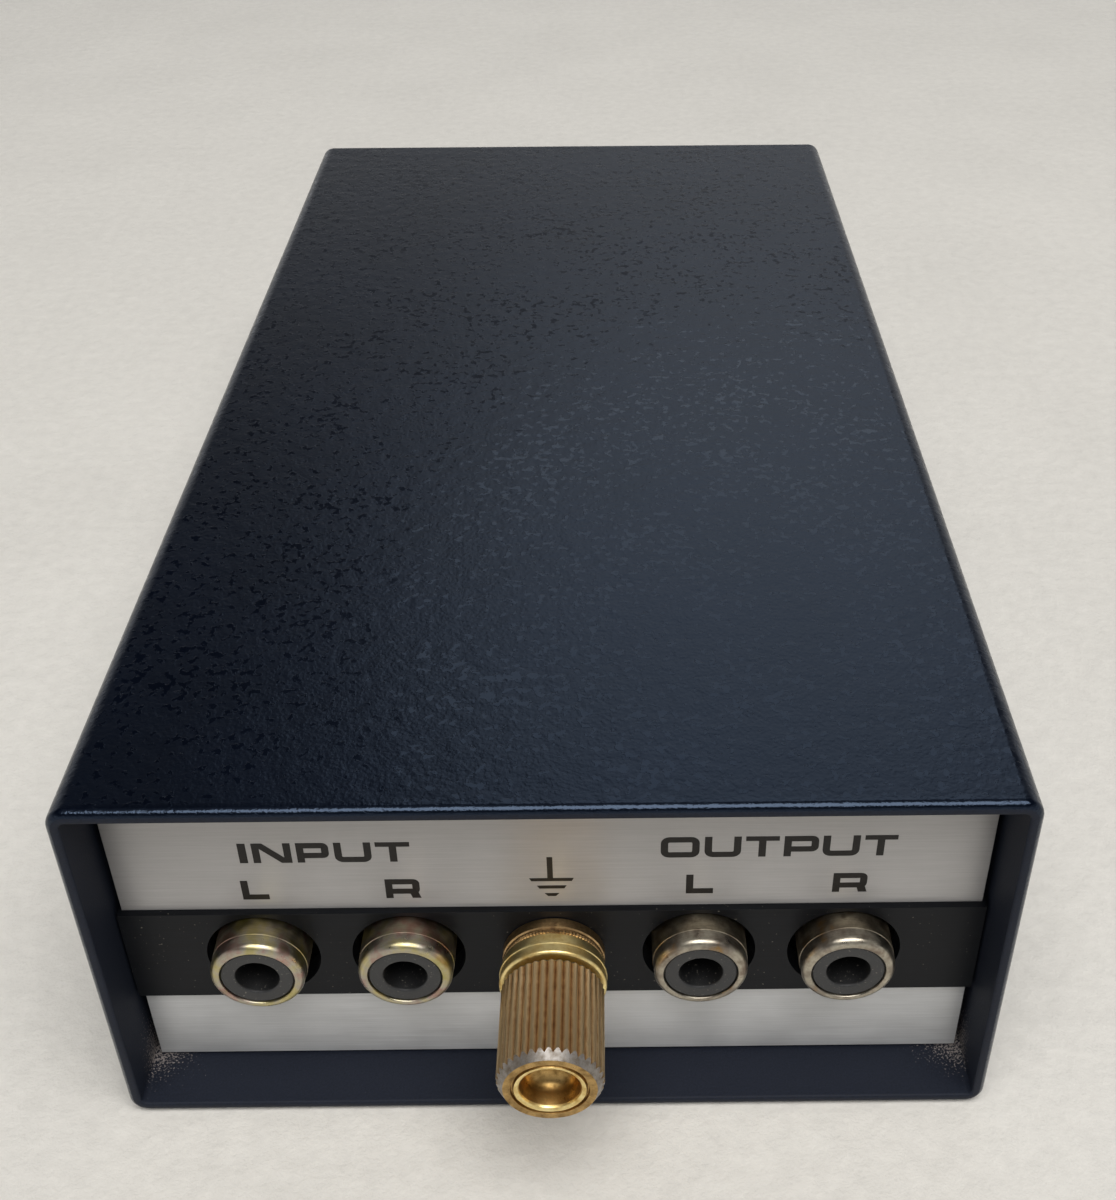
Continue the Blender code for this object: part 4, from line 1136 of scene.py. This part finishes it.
class BoxStage(bpy.types.Operator):
    """Make the floor, the soft lights, the room's glow and the camera"""
    bl_idname = "box.stage"
    bl_label = "Stage"

    def execute(self, context):
        sizes = context.scene.box_stage
        scene = context.scene
        bm = bmesh.new()
        bmesh.ops.create_grid(bm, x_segments=1, y_segments=1, size=3.0)
        bmesh.ops.translate(bm, verts=bm.verts, vec=(0, 0, -0.05 * MM))
        mesh = bpy.data.meshes.new("floor")
        bm.to_mesh(mesh)
        bm.free()
        mesh.materials.append(floor_felt(sizes.floor))
        floor = bpy.data.objects.new("floor", mesh)
        scene.collection.objects.link(floor)
        self.add_light("key", (0.1, -0.5, 1.2), 1.3, 0.9, sizes.key, (1.0, 0.985, 0.96))
        self.add_light("side", (0.14, 0.82, 0.8), 0.68, 0.62, sizes.side, (0.85, 0.93, 1.0))
        self.make_room(scene)
        self.make_camera(scene)
        scene.view_settings.view_transform = "Standard"
        return {"FINISHED"}

    def add_light(self, name, place, width, height, power, tint):
        """A soft oval light that faces the box."""
        light = bpy.data.lights.new(name, "AREA")
        light.shape = "ELLIPSE"
        light.size, light.size_y = width, height
        light.energy = power
        light.color = tint
        item = bpy.data.objects.new(name + "_light", light)
        item.location = place
        aim = Vector((0.0, 0.0, 0.02)) - Vector(place)
        item.rotation_euler = aim.to_track_quat("-Z", "Y").to_euler()
        bpy.context.scene.collection.objects.link(item)

    def make_room(self, scene):
        """A dim room that glows softly at the horizon, overhead and in a pool of light behind."""
        world = bpy.data.worlds.new("room")
        world.use_nodes = True
        tree = world.node_tree
        way = add(tree, "TexCoord").outputs["Generated"]
        height = add(tree, "SeparateXYZ", {0: way})
        glow = add(tree, "ValToRGB", {0: height.outputs["Z"]},
                   stops=((0.0, grey(0.7)), (0.15, grey(0.56)), (0.3, (0.4, 0.395, 0.385, 1.0)),
                          (0.42, grey(0.16)), (0.55, grey(0.02)), (0.8, grey(0.03)),
                          (1.0, grey(0.3))))
        aim = Vector((0.2, 0.78, 0.66)).normalized()
        near = add(tree, "VectorMath", {0: way, 1: aim}, operation="DOT_PRODUCT")
        pool = add(tree, "MapRange", {"Value": near.outputs["Value"], "From Min": 0.88,
                                      "From Max": 1.0, "To Max": 0.15},
                   interpolation_type="SMOOTHSTEP")
        lit = add(tree, "Mix", {0: 1.0, 6: glow.outputs[0], 7: pool.outputs[0]},
                  data_type="RGBA", blend_type="ADD")
        background = tree.nodes["Background"]
        tree.links.new(lit.outputs[2], background.inputs["Color"])
        background.inputs["Strength"].default_value = 1.0
        scene.world = world

    def make_camera(self, scene):
        """A hand-held view from the front, from above and close by."""
        data = bpy.data.cameras.new("camera")
        data.lens = 43.87
        data.sensor_width = 36.0
        data.shift_x, data.shift_y = -0.0452, -0.1
        data.clip_start = 5 * MM
        camera = bpy.data.objects.new("camera", data)
        camera.location = Vector((5.02, -154.4, 125.2)) * MM
        camera.rotation_euler = [math.radians(turn) for turn in (56.39, 0.287, -0.519)]
        scene.collection.objects.link(camera)
        scene.camera = camera


OPERATORS = (BoxSleeve, BoxFront, BoxSockets, BoxTerminal, BoxRear, BoxInside, BoxStage)


class BoxPanel(bpy.types.Panel):
    """Buttons and settings of the box"""
    bl_idname = "VIEW3D_PT_transformer_box"
    bl_label = "Transformer box"
    bl_space_type = "VIEW_3D"
    bl_region_type = "UI"
    bl_category = "Box"

    def draw(self, context):
        for operator in OPERATORS:
            self.layout.operator(operator.bl_idname)
        for name, group in SETTINGS.items():
            area = self.layout.box()
            area.label(text=group.__doc__)
            for setting in group.__annotations__:
                area.prop(getattr(context.scene, name), setting)


def register():
    for group in SETTINGS.values():
        bpy.utils.register_class(group)
    for name, group in SETTINGS.items():
        setattr(bpy.types.Scene, name, bpy.props.PointerProperty(type=group))
    for kind in (*OPERATORS, BoxPanel):
        bpy.utils.register_class(kind)


def unregister():
    for kind in (BoxPanel, *reversed(OPERATORS)):
        bpy.utils.unregister_class(kind)
    for name, group in SETTINGS.items():
        delattr(bpy.types.Scene, name)
        bpy.utils.unregister_class(group)


def main():
    register()
    bpy.ops.box.sleeve()
    bpy.ops.box.front()
    bpy.ops.box.sockets()
    bpy.ops.box.terminal()
    bpy.ops.box.rear()
    bpy.ops.box.inside()
    bpy.ops.box.stage()


if __name__ == "__main__":
    main()
